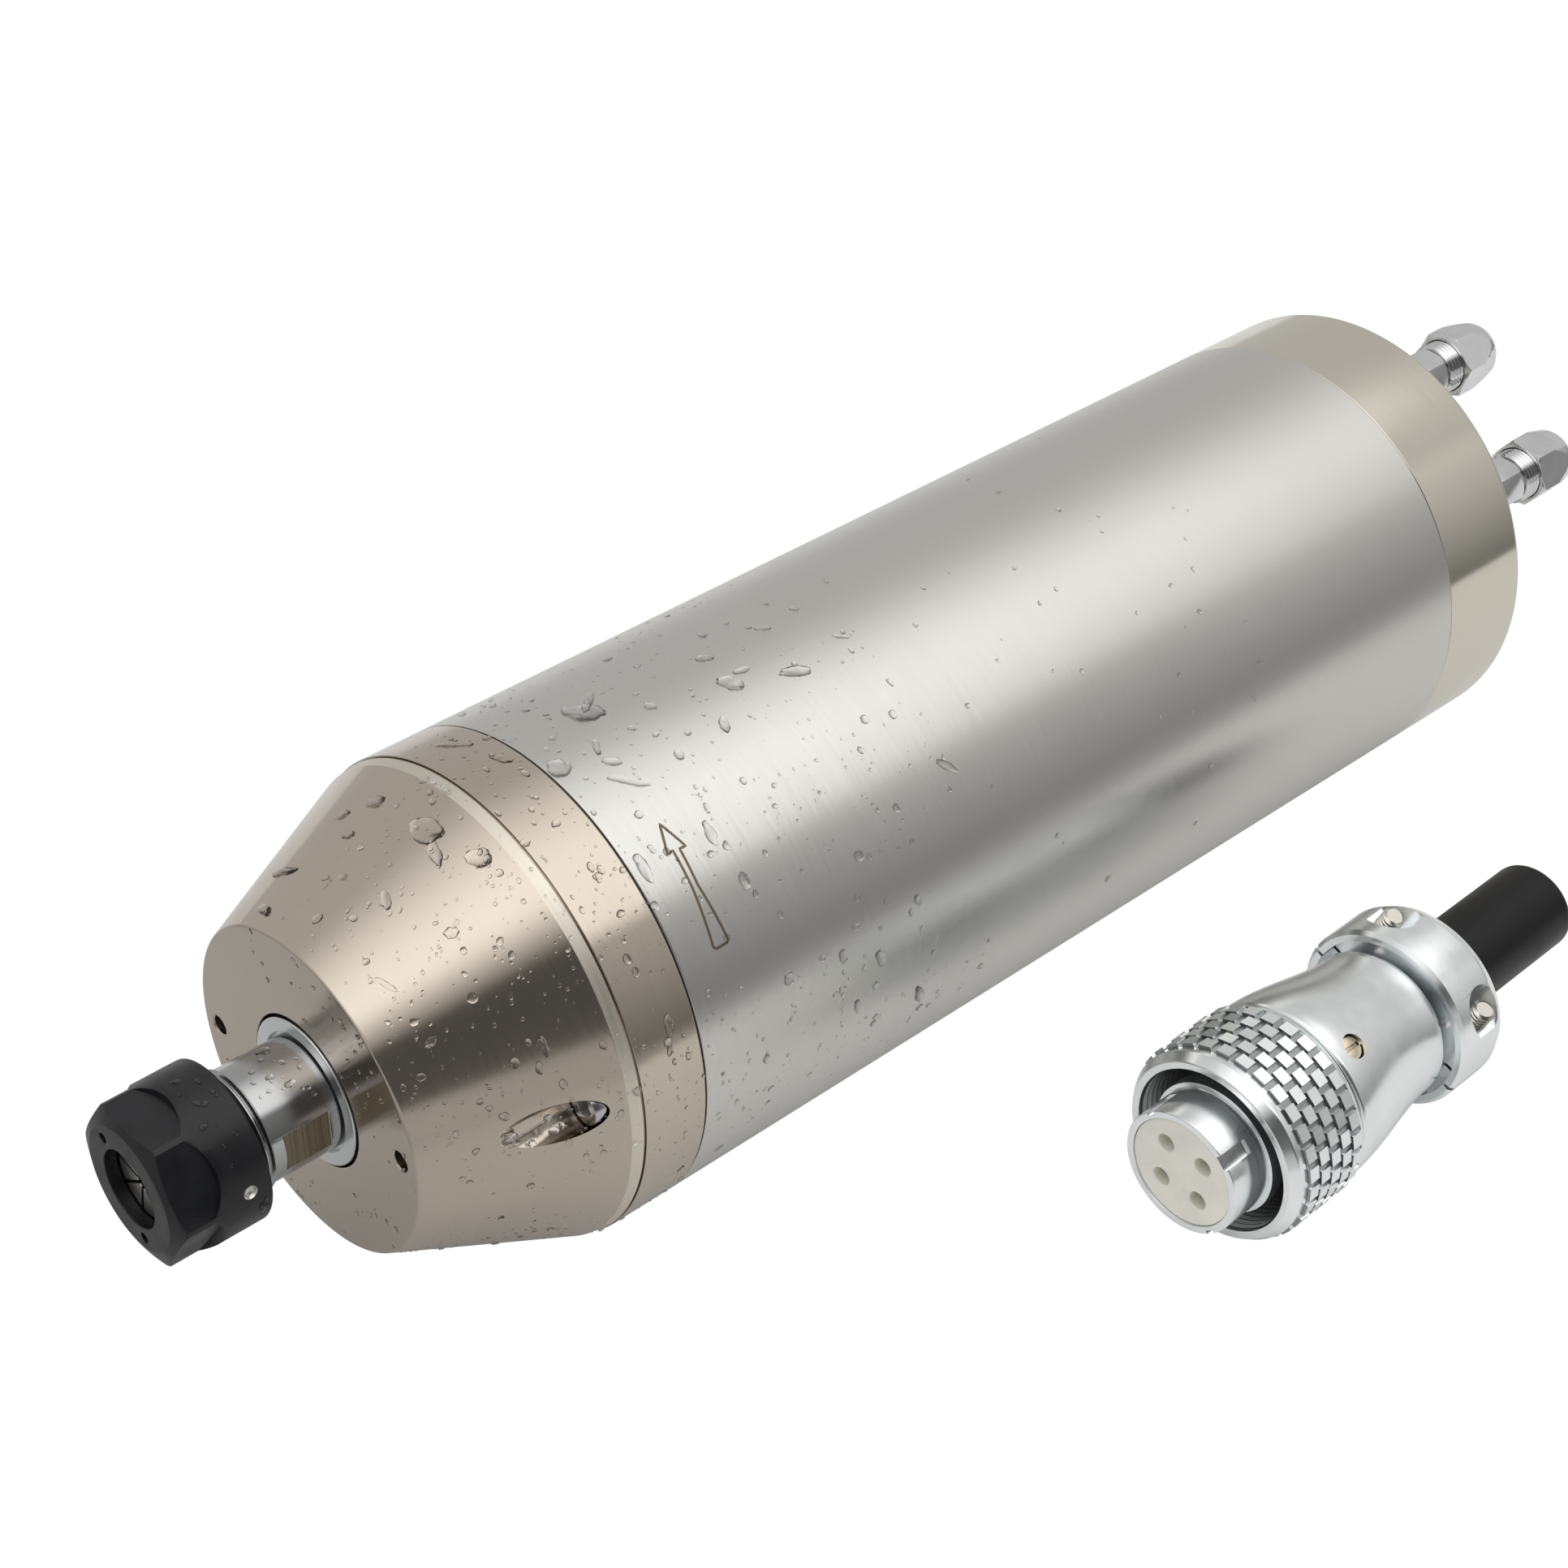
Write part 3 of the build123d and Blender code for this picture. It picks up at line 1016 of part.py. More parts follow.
def clamp_half(side):
    """One half of the collar, in a frame whose +Z is the screw direction."""
    body = clamp_blank()
    big = 2 * CLAMP_R
    body = body & (Pos(CLAMP_SCREW_X, 0, side * (CLAMP_SLIT + big) / 2) * Box(big, 2 * big, big))
    for y in (-CLAMP_SCREW_OFFSET, CLAMP_SCREW_OFFSET):
        body -= Pos(CLAMP_SCREW_X, y, 0) * Cylinder(CLAMP_SCREW_R + SLIP, 2 * big)
        if side > 0:
            body -= Pos(CLAMP_SCREW_X, y, CLAMP_POCKET_LEVEL + CLAMP_R / 2) * Cylinder(CLAMP_POCKET_R, CLAMP_R)
        else:
            body -= Pos(CLAMP_SCREW_X, y, CLAMP_HEAD_LEVEL - CLAMP_R / 2) * Cylinder(
                CLAMP_HEAD_R + HEAD_GAP, CLAMP_R)
    return in_plug(Rot(CLAMP_DEG - 90, 0, 0) * body)


def clamp_screws():
    screws = []
    for y in (-CLAMP_SCREW_OFFSET, CLAMP_SCREW_OFFSET):
        length = CLAMP_SCREW_TOP - CLAMP_HEAD_LEVEL
        screw = Pos(CLAMP_SCREW_X, y, CLAMP_HEAD_LEVEL + length / 2) * Cylinder(CLAMP_SCREW_R, length)
        screw += Pos(CLAMP_SCREW_X, y, CLAMP_HEAD_LEVEL - CLAMP_HEAD / 2) * Cylinder(CLAMP_HEAD_R, CLAMP_HEAD)
        screw -= Pos(CLAMP_SCREW_X, y, CLAMP_HEAD_LEVEL - CLAMP_HEAD) * Box(
            3 * CLAMP_HEAD_R, CLAMP_HEAD_SLOT, 0.6 * CLAMP_HEAD)
        for i in range(3):
            level = CLAMP_SCREW_TOP - (i + 1) * CLAMP_THREAD_PITCH
            cutter = Cylinder(CLAMP_SCREW_R + CUT, CLAMP_THREAD_W)
            cutter -= Cylinder(CLAMP_SCREW_R - CLAMP_THREAD_DEPTH, CLAMP_THREAD_W)
            screw -= Pos(CLAMP_SCREW_X, y, level) * cutter
        screws.append(in_plug(Rot(CLAMP_DEG - 90, 0, 0) * screw))
    return Compound(children=screws)


def plug_boot():
    body = turned([
        (BOOT_X0, BOOT_BORE_R), (BOOT_X0, BOOT_R), (BOOT_X1 - BOOT_EDGE, BOOT_R), (BOOT_X1, BOOT_R - BOOT_EDGE),
        (BOOT_X1, BOOT_BORE_R)])
    return in_plug(body)


NODES = {
    "nose_cone": nose_cone,
    "nose_cone_screws": nose_screws,
    "front_bearing_housing": front_housing,
    "front_joint_seal": front_seal_line,
    "outer_tube": outer_tube,
    "water_jacket": water_jacket,
    "jacket_o_rings": jacket_o_rings,
    "stator_core": stator_core,
    "stator_windings": stator_windings,
    "rotor_shaft": rotor_shaft,
    "dust_ring": dust_ring,
    "rotor_core": rotor_core,
    "rotor_end_rings": rotor_end_rings,
    "front_bearing_outer_rings": lambda: outer_rings(FB_X0, FB_WIDTH, FB_BORE_R, FB_OUTER_R, FB_BALL_R),
    "front_bearing_inner_rings": lambda: inner_rings(FB_X0, FB_WIDTH, FB_BORE_R, FB_OUTER_R, FB_BALL_R),
    "front_bearing_balls": lambda: bearing_balls(FB_X0, FB_WIDTH, FB_BORE_R, FB_OUTER_R, FB_BALL_R, FB_BALLS),
    "front_bearing_cages": lambda: bearing_cages(FB_X0, FB_WIDTH, FB_BORE_R, FB_OUTER_R, FB_BALL_R, FB_BALLS),
    "rear_bearing_outer_rings": lambda: outer_rings(RB_X0, RB_WIDTH, RB_BORE_R, RB_OUTER_R, RB_BALL_R),
    "rear_bearing_inner_rings": lambda: inner_rings(RB_X0, RB_WIDTH, RB_BORE_R, RB_OUTER_R, RB_BALL_R),
    "rear_bearing_balls": lambda: bearing_balls(RB_X0, RB_WIDTH, RB_BORE_R, RB_OUTER_R, RB_BALL_R, RB_BALLS),
    "rear_bearing_cages": lambda: bearing_cages(RB_X0, RB_WIDTH, RB_BORE_R, RB_OUTER_R, RB_BALL_R, RB_BALLS),
    "rear_lock_nut": rear_lock_nut,
    "rear_bearing_housing": rear_housing_bored,
    "preload_spring": preload_spring,
    "preload_plate": spring_plate,
    "rear_cap": rear_cap,
    "rear_cap_screws": rear_cap_screws,
    "water_fittings": water_fittings,
    "fitting_nut_upper": lambda: fitting_nut(0),
    "fitting_nut_lower": lambda: fitting_nut(1),
    "fitting_ferrule_upper": lambda: fitting_ferrule(0),
    "fitting_ferrule_lower": lambda: fitting_ferrule(1),
    "socket_shell": socket_shell,
    "socket_screws": socket_screws,
    "socket_insert": socket_insert,
    "socket_pins": socket_pins,
    "collet": collet,
    "collet_nut": collet_nut,
    "plug_sleeve": plug_sleeve,
    "plug_insert": plug_insert,
    "plug_contacts": plug_contacts,
    "plug_coupling_nut": plug_coupling_nut,
    "plug_shell": plug_shell,
    "plug_set_screw": plug_set_screw,
    "plug_clamp_base": lambda: clamp_half(-1),
    "plug_clamp_saddle": lambda: clamp_half(1),
    "plug_clamp_screws": clamp_screws,
    "plug_boot": plug_boot,
}

os.makedirs("parts", exist_ok=True)
for name, make in NODES.items():
    export_step(make(), f"parts/{name}.step")
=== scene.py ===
import math

import bmesh
import bpy
from mathutils import Matrix, Vector, noise as ripples


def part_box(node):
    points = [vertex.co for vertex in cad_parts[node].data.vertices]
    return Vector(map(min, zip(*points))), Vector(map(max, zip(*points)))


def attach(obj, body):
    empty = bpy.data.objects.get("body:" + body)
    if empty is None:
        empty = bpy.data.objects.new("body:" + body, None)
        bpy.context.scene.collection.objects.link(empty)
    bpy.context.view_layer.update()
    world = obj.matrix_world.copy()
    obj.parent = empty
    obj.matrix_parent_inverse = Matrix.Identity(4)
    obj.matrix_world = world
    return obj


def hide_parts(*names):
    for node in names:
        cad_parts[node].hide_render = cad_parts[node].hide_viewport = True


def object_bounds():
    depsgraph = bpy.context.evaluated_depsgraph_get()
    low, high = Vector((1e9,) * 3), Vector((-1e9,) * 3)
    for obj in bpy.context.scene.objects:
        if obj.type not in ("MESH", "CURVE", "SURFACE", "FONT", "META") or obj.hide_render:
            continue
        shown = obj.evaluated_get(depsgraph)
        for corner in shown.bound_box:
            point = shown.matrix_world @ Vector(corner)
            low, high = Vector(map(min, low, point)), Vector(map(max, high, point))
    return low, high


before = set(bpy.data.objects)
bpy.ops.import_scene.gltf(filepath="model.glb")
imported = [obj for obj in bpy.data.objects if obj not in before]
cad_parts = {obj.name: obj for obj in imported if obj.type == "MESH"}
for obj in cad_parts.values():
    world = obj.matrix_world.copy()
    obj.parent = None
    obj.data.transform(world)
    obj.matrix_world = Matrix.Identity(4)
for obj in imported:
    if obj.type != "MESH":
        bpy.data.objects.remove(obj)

bl_info = {
    "name": "Motor Spindle Dressing",
    "version": (1, 0, 0),
    "blender": (4, 5, 0),
    "location": "View3D > Sidebar > Spindle",
    "description": "Dresses a packed motor spindle and its loose power plug for a studio picture",
    "category": "Object",
}

MM = 0.001
CAD_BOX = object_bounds()
TUBE_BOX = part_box("outer_tube")
PLUG_CENTRE = (0.1261, -0.1035, -0.0287)
PLUG_TURN = math.radians(2.0)
PLUG_PLACE = Matrix.Translation(PLUG_CENTRE) @ Matrix.Rotation(PLUG_TURN, 4, "Z")

# Places that several pieces share, in millimetres and degrees
BODY_R = 50.0
SHAFT_R = 11.57
NUT_R = 16.2
FITTING_CIRCLE = 37.0
FITTING_ANGLES = (102.3, 150.7)
NOSE_SCREW_CIRCLE = 43.9
NOSE_SCREW_ANGLES = (171.5, 351.5)
SPANNER_CIRCLE = 28.8
CAP_SCREW_CIRCLE = 42.0
SOCKET_PLACE = (13.1, -17.7)
SOCKET_SCREW_CIRCLE = 19.7
SOCKET_SCREW_ANGLES = (45, 135, 225, 315)
DIMPLE_X = -23.2
DIMPLE_ANGLE = 176.0


# Outlines and meshes

def rounded(corners, steps=4):
    """Rounds the corners of a closed outline; a corner is (x, r) or (x, r, size)."""
    out = []
    count = len(corners)
    for i, corner in enumerate(corners):
        here = Vector(corner[:2])
        size = corner[2] if len(corner) > 2 else 0.0
        if size <= 0.0:
            out.append(tuple(here))
            continue
        before = Vector(corners[i - 1][:2]) - here
        after = Vector(corners[(i + 1) % count][:2]) - here
        reach = min(size, 0.45 * before.length, 0.45 * after.length)
        a = here + before.normalized() * reach
        b = here + after.normalized() * reach
        hold = 0.12 * reach
        out.append(tuple(a + before.normalized() * hold))
        for k in range(steps + 1):
            t = k / steps
            out.append(tuple(a.lerp(here, t).lerp(here.lerp(b, t), t)))
        out.append(tuple(b + after.normalized() * hold))
    return out


def spaced(outline, longest):
    """Adds points along long straight runs of a closed outline."""
    if not longest:
        return outline
    out = []
    for i, (x, r) in enumerate(outline):
        nx, nr = outline[(i + 1) % len(outline)]
        parts = max(1, math.ceil(math.hypot(nx - x, nr - r) / longest))
        for k in range(parts):
            out.append((x + (nx - x) * k / parts, r + (nr - r) * k / parts))
    return out


def linked(name, bm):
    """Turns an edited mesh into an object at the origin."""
    mesh = bpy.data.meshes.new(name)
    bm.to_mesh(mesh)
    bm.free()
    obj = bpy.data.objects.new(name, mesh)
    bpy.context.scene.collection.objects.link(obj)
    return obj


def mesh_object(name, bm):
    """The same, with its points welded and its faces outward."""
    bmesh.ops.remove_doubles(bm, verts=bm.verts, dist=1e-8)
    bmesh.ops.recalc_face_normals(bm, faces=bm.faces)
    return linked(name, bm)


def polar(radius, degrees, centre=(0.0, 0.0)):
    """The (y, z) of an angle on a circle round a centre."""
    a = math.radians(degrees)
    return centre[0] + radius * math.cos(a), centre[1] + radius * math.sin(a)


def thread(x, pitch, count, profile):
    """Corners of thread rings that repeat a (step, radius) profile along X."""
    out = []
    for _ in range(count):
        out += [(x + step, *rest) for step, *rest in profile]
        x += pitch
    return out


def turned(name, corners, segments=192, centre=(0.0, 0.0), longest=0.0, start=0.0):
    """Turns a closed (x, radius) outline in millimetres round a line along X."""
    outline = spaced(rounded(corners), longest)
    bm = bmesh.new()
    rings = []
    for x, r in outline:
        if r < 1e-6:
            rings.append([bm.verts.new((x * MM, centre[0] * MM, centre[1] * MM))])
            continue
        ring = []
        for k in range(segments):
            a = start + math.tau * k / segments
            ring.append(bm.verts.new((x * MM, (centre[0] + r * math.cos(a)) * MM,
                                      (centre[1] + r * math.sin(a)) * MM)))
        rings.append(ring)
    for i, ring in enumerate(rings):
        other = rings[(i + 1) % len(rings)]
        if len(ring) == 1 and len(other) == 1:
            continue
        for k in range(segments):
            n = (k + 1) % segments
            if len(ring) == 1:
                bm.faces.new((ring[0], other[k], other[n]))
            elif len(other) == 1:
                bm.faces.new((ring[k], other[0], ring[n]))
            else:
                bm.faces.new((ring[k], other[k], other[n], ring[n]))
    return mesh_object(name, bm)


def bored(x0, x1, radius, centre, segments=48):
    """A round cutter along X."""
    return turned("bore", [(x0, 0), (x0, radius), (x1, radius), (x1, 0)], segments, centre)


def block(name, low, high):
    """A square cutter between two corners in millimetres."""
    bm = bmesh.new()
    bmesh.ops.create_cube(bm, size=1.0)
    size = Vector(high) - Vector(low)
    middle = (Vector(high) + Vector(low)) / 2
    for v in bm.verts:
        v.co = Vector((middle[i] + v.co[i] * size[i] for i in range(3))) * MM
    return mesh_object(name, bm)


def moved(obj, matrix):
    """Puts a turn or a move into the mesh itself."""
    obj.data.transform(matrix)
    if matrix.determinant() < 0:
        obj.data.flip_normals()
    return obj


def about_x(degrees):
    return Matrix.Rotation(math.radians(degrees), 4, "X")


def stood(obj, place, degrees):
    """Stands a turned piece on end at a place in millimetres and swings it to an angle round X."""
    moved(obj, Matrix.Rotation(math.radians(-90), 4, "Y"))
    moved(obj, Matrix.Translation([c * MM for c in place]))
    return moved(obj, about_x(degrees - 90))


def settle(obj):
    """Makes an object's modifiers part of its mesh."""
    deps = bpy.context.evaluated_depsgraph_get()
    mesh = bpy.data.meshes.new_from_object(obj.evaluated_get(deps))
    obj.modifiers.clear()
    old = obj.data
    obj.data = mesh
    bpy.data.meshes.remove(old)
    return obj


def discard(obj):
    """Removes an object and its mesh."""
    mesh = obj.data
    bpy.data.objects.remove(obj)
    bpy.data.meshes.remove(mesh)


def carve(obj, cutters, operation="DIFFERENCE"):
    """Cuts, or with another operation joins, a list of meshes."""
    for cutter in cutters:
        step = obj.modifiers.new("carve", "BOOLEAN")
        step.operation = operation
        step.solver = "EXACT"
        step.object = cutter
    settle(obj)
    for cutter in cutters:
        discard(cutter)
    return obj


def merged(name, parts):
    """Puts several meshes into one object."""
    whole = bmesh.new()
    for part in parts:
        whole.from_mesh(part.data)
        discard(part)
    return linked(name, whole)


def shaded(obj, degrees=32.0):
    """Smooth shading with crisp edges above an angle."""
    mesh = obj.data
    mesh.polygons.foreach_set("use_smooth", [True] * len(mesh.polygons))
    mesh.set_sharp_from_angle(angle=math.radians(degrees))
    return obj


def broken_edges(obj, width, degrees=28.0, segments=2):
    """Small rounded edges that catch the light."""
    step = obj.modifiers.new("edges", "BEVEL")
    step.width = width * MM
    step.segments = segments
    step.limit_method = "ANGLE"
    step.angle_limit = math.radians(degrees)
    step.harden_normals = False
    return settle(obj)


def flat_faced(obj, degrees):
    """Smooth shading that keeps the large faces of a rounded block flat."""
    shaded(obj, degrees)
    step = obj.modifiers.new("weights", "WEIGHTED_NORMAL")
    step.keep_sharp = True
    step.weight = 80
    return settle(obj)


def merged_copy(node, name):
    """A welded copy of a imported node, ready for smooth shading."""
    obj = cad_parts[node].copy()
    obj.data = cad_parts[node].data.copy()
    obj.name = name
    obj.parent = None
    obj.matrix_world = Matrix.Identity(4)
    bpy.context.scene.collection.objects.link(obj)
    bm = bmesh.new()
    bm.from_mesh(obj.data)
    bmesh.ops.remove_doubles(bm, verts=bm.verts, dist=2e-6)
    bmesh.ops.dissolve_limit(bm, angle_limit=math.radians(0.4), verts=bm.verts, edges=bm.edges)
    bm.to_mesh(obj.data)
    bm.free()
    obj.data.materials.clear()
    return obj


def finished(obj, material, body, slot, *nodes):
    """Gives a piece its finish and its body, and hides the nodes it stands for."""
    obj.data.materials.clear()
    obj.data.materials.append(material)
    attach(obj, body)
    if nodes:
        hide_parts(*nodes)
    return obj


def dressed(node, material, body, slot, edge=0.0, sharp=28.0, smooth=32.0, segments=2, finish=shaded):
    """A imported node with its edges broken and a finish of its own."""
    obj = merged_copy(node, f"{node}_skin")
    if edge:
        broken_edges(obj, edge, sharp, segments)
    return finished(finish(obj, smooth), material, body, slot, node)


def plugged(obj, material, slot, node, smooth=32.0, body="plug"):
    """Sets a piece that was built along X in the plug's place, and finishes it."""
    return finished(shaded(moved(obj, PLUG_PLACE), smooth), material, body, slot, node)


def painted_shade_where(obj, material, chosen):
    """A second, darker metal on the faces of a plug piece that a test picks: painted shade in the plug's
    recesses and gaps.

    The test takes a face's station and radius in millimetres, and how far it looks outward.
    """
    obj.data.materials.append(material)
    back = PLUG_PLACE.inverted()
    for face in obj.data.polygons:
        place = back @ face.center / MM
        radius = math.hypot(place.y, place.z)
        normal = back.to_3x3() @ face.normal
        if radius and chosen(place.x, radius, (normal.y * place.y + normal.z * place.z) / radius):
            face.material_index = 1


# Nodes

def wired(tree, kind, inputs=(), **attributes):
    """A new node whose inputs, by name or number, each take a socket or a value."""
    node = tree.nodes.new(kind)
    for key, value in attributes.items():
        setattr(node, key, value)
    for key, value in dict(inputs).items():
        if isinstance(value, bpy.types.NodeSocket):
            tree.links.new(value, node.inputs[key])
        else:
            node.inputs[key].default_value = value
    return node


def reckoned(tree, operation, a, b=0.0):
    """The result of a math node."""
    return wired(tree, "ShaderNodeMath", {0: a, 1: b}, operation=operation).outputs[0]


def node_group(name, inputs):
    """A geometry node group with (label, kind) inputs, and the identifiers of those inputs."""
    tree = bpy.data.node_groups.new(name, "GeometryNodeTree")
    face = tree.interface
    face.new_socket("Geometry", in_out="INPUT", socket_type="NodeSocketGeometry")
    ids = [face.new_socket(label, in_out="INPUT", socket_type="NodeSocket" + kind).identifier
           for label, kind in inputs]
    face.new_socket("Geometry", in_out="OUTPUT", socket_type="NodeSocketGeometry")
    return tree, ids


def run_group(obj, tree, geometry, material, ids, values):
    """Paints the geometry, ends the group with it and applies the group to an object."""
    paint = wired(tree, "GeometryNodeSetMaterial", {"Geometry": geometry, "Material": material})
    wired(tree, "NodeGroupOutput", {"Geometry": paint.outputs["Geometry"]})
    step = obj.modifiers.new("group", "NODES")
    step.node_group = tree
    for identifier, value in zip(ids, values):
        step[identifier] = value
    return settle(obj)


# Finishes

class Finish:
    """A small builder for one node material."""

    def __init__(self, name):
        self.material = bpy.data.materials.get(name) or bpy.data.materials.new(name)
        self.material.use_nodes = True
        self.tree = self.material.node_tree
        self.tree.nodes.clear()
        self.out = self.tree.nodes.new("ShaderNodeOutputMaterial")
        self.shader = self.tree.nodes.new("ShaderNodeBsdfPrincipled")
        self.tree.links.new(self.shader.outputs["BSDF"], self.out.inputs["Surface"])
        self.place = self.tree.nodes.new("ShaderNodeTexCoord")
        self.bump_from = None

    def set(self, **values):
        for key, value in values.items():
            self.shader.inputs[key.replace("_", " ")].default_value = value
        return self

    def node(self, kind, **values):
        node = self.tree.nodes.new(kind)
        for key, value in values.items():
            if key in node.inputs:
                node.inputs[key].default_value = value
            else:
                setattr(node, key, value)
        return node

    def link(self, a, b):
        self.tree.links.new(a, b)

    def noise(self, scale, stretch=(1, 1, 1), detail=3.0, rough=0.55, place=(0, 0, 0)):
        mapping = wired(self.tree, "ShaderNodeMapping", {
            "Vector": self.place.outputs["Object"], "Scale": stretch, "Location": place})
        return wired(self.tree, "ShaderNodeTexNoise", {
            "Vector": mapping.outputs["Vector"], "Scale": scale, "Detail": detail,
            "Roughness": rough}).outputs["Fac"]

    def ramp(self, fac, stops):
        ramp = self.node("ShaderNodeValToRGB")
        elements = ramp.color_ramp.elements
        while len(elements) < len(stops):
            elements.new(0.5)
        for element, (at, colour) in zip(elements, stops):
            element.position = at
            element.color = colour if len(colour) == 4 else (*colour, 1.0)
        self.link(fac, ramp.inputs["Fac"])
        return ramp.outputs["Color"]

    def between(self, fac, low, high, source=(0.0, 1.0)):
        return wired(self.tree, "ShaderNodeMapRange", {
            "Value": fac, "From Min": source[0], "From Max": source[1],
            "To Min": low, "To Max": high}).outputs["Result"]

    def colour(self, fac, stops):
        self.link(self.ramp(fac, stops), self.shader.inputs["Base Color"])
        return self

    def roughness(self, fac, low, high):
        self.link(self.between(fac, low, high, (0.3, 0.7)), self.shader.inputs["Roughness"])
        return self

    def bump(self, fac, strength, distance):
        bump = self.node("ShaderNodeBump", Strength=strength, Distance=distance)
        self.link(fac, bump.inputs["Height"])
        if self.bump_from:
            self.link(self.bump_from, bump.inputs["Normal"])
        self.bump_from = bump.outputs["Normal"]
        self.link(self.bump_from, self.shader.inputs["Normal"])
        return self

    def grain_across(self, amount, centre=(0.0, 0.0, 0.0), axis=(1.0, 0.0, 0.0)):
        """Stretches highlights across marks that run round an axis."""
        arm = wired(self.tree, "ShaderNodeVectorMath", {0: self.place.outputs["Object"], 1: centre},
                    operation="SUBTRACT")
        ring = wired(self.tree, "ShaderNodeVectorMath", {0: axis, 1: arm.outputs["Vector"]},
                     operation="CROSS_PRODUCT")
        face = wired(self.tree, "ShaderNodeNewGeometry")
        across = wired(self.tree, "ShaderNodeVectorMath", {
            0: ring.outputs["Vector"], 1: face.outputs["Normal"]}, operation="CROSS_PRODUCT")
        self.link(across.outputs["Vector"], self.shader.inputs["Tangent"])
        return self.set(Anisotropic=amount)


def shade(colour, factor):
    return tuple(c * factor for c in colour[:3])


def turned_metal(name, colour, rough, grain=0.6, lines=0.05, cloud=0.05, scale=1.0):
    """Metal turned or ground round its axis, with fine lines and faint clouds."""
    finish = Finish(name).set(Metallic=1.0)
    fine = finish.noise(1600.0 * scale, (1.0, 0.05, 0.05), 3.0, 0.6)
    cloudy = finish.noise(30.0 * scale, (1.0, 0.5, 0.5), 4.0, 0.5)
    finish.colour(cloudy, [
        (0.25, shade(colour, 1.0 - cloud)), (0.5, colour), (0.78, shade(colour, 1.0 + cloud))])
    finish.roughness(fine, rough * 0.9, rough * 1.1)
    finish.bump(fine, lines, 0.00002)
    finish.grain_across(grain)
    return finish.material


def dark_metal(name, colour, rough, grain=0.15):
    finish = Finish(name).set(Metallic=0.0, Specular_IOR_Level=0.42)
    fine = finish.noise(2600.0, (1, 1, 1), 3.0)
    wear = finish.noise(160.0, (1, 1, 1), 4.0)
    finish.colour(wear, [(0.35, colour), (0.75, shade(colour, 1.7))])
    finish.roughness(wear, rough * 0.85, rough * 1.25)
    finish.bump(fine, grain, 0.00002)
    return finish.material


def plated_metal(name, colour, rough, grain=0.08, wave=0.0, scale=1.0):
    """Bright plating with soft unevenness."""
    finish = Finish(name).set(Metallic=1.0)
    cloudy = finish.noise(120.0 * scale, (1, 1, 1), 4.0)
    fine = finish.noise(1500.0 * scale, (1, 1, 1), 3.0)
    finish.colour(cloudy, [(0.3, shade(colour, 0.93)), (0.7, shade(colour, 1.04))])
    finish.roughness(cloudy, rough * 0.75, rough * 1.3)
    finish.bump(fine, grain, 0.00003)
    if wave:
        finish.bump(finish.noise(60.0 * scale, (1, 1, 1), 2.0), wave, 0.0002)
    return finish.material


def moulded(name, colour, rough, grain=0.1, scale=1.0, gloss=0.45):
    """Moulded plastic or rubber."""
    finish = Finish(name).set(Metallic=0.0, Specular_IOR_Level=gloss)
    cloudy = finish.noise(90.0 * scale, (1, 1, 1), 3.0)
    fine = finish.noise(1900.0 * scale, (1, 1, 1), 3.0)
    finish.colour(cloudy, [(0.3, shade(colour, 0.9)), (0.7, shade(colour, 1.08))])
    finish.roughness(cloudy, rough * 0.85, rough * 1.15)
    finish.bump(fine, grain, 0.00004)
    return finish.material


def stacked_sheets(name, colour, rough):
    """The edge of a stack of thin steel sheets."""
    finish = Finish(name).set(Metallic=1.0)
    lines = finish.noise(1.0, (2200.0, 1.0, 1.0), 1.0)
    finish.colour(lines, [(0.35, shade(colour, 0.6)), (0.65, colour)])
    finish.roughness(lines, rough * 0.9, rough * 1.2)
    finish.bump(lines, 0.5, 0.00008)
    return finish.material


def wound_wire(name, colour, rough):
    """Lacquered copper wire wound round the axis."""
    finish = Finish(name).set(Metallic=1.0, Coat_Weight=0.4)
    wire = finish.noise(1.0, (700.0, 260.0, 260.0), 1.0)
    finish.colour(wire, [(0.3, shade(colour, 0.45)), (0.7, colour)])
    finish.roughness(wire, rough * 0.9, rough * 1.3)
    finish.bump(wire, 0.7, 0.0004)
    return finish.material


def clear_water(name, rough):
    """Water standing in drops on metal."""
    finish = Finish(name).set(Metallic=0.0, Transmission_Weight=1.0, IOR=1.33)
    ripple = finish.noise(500.0, (1, 1, 1), 2.0)
    finish.colour(ripple, [(0.3, (0.97, 0.98, 0.98)), (0.7, (1.0, 1.0, 1.0))])
    finish.roughness(ripple, rough, rough * 2.0)
    return finish.material


# The larger drops: station and angle, half length and half width in mm, and how far each is turned

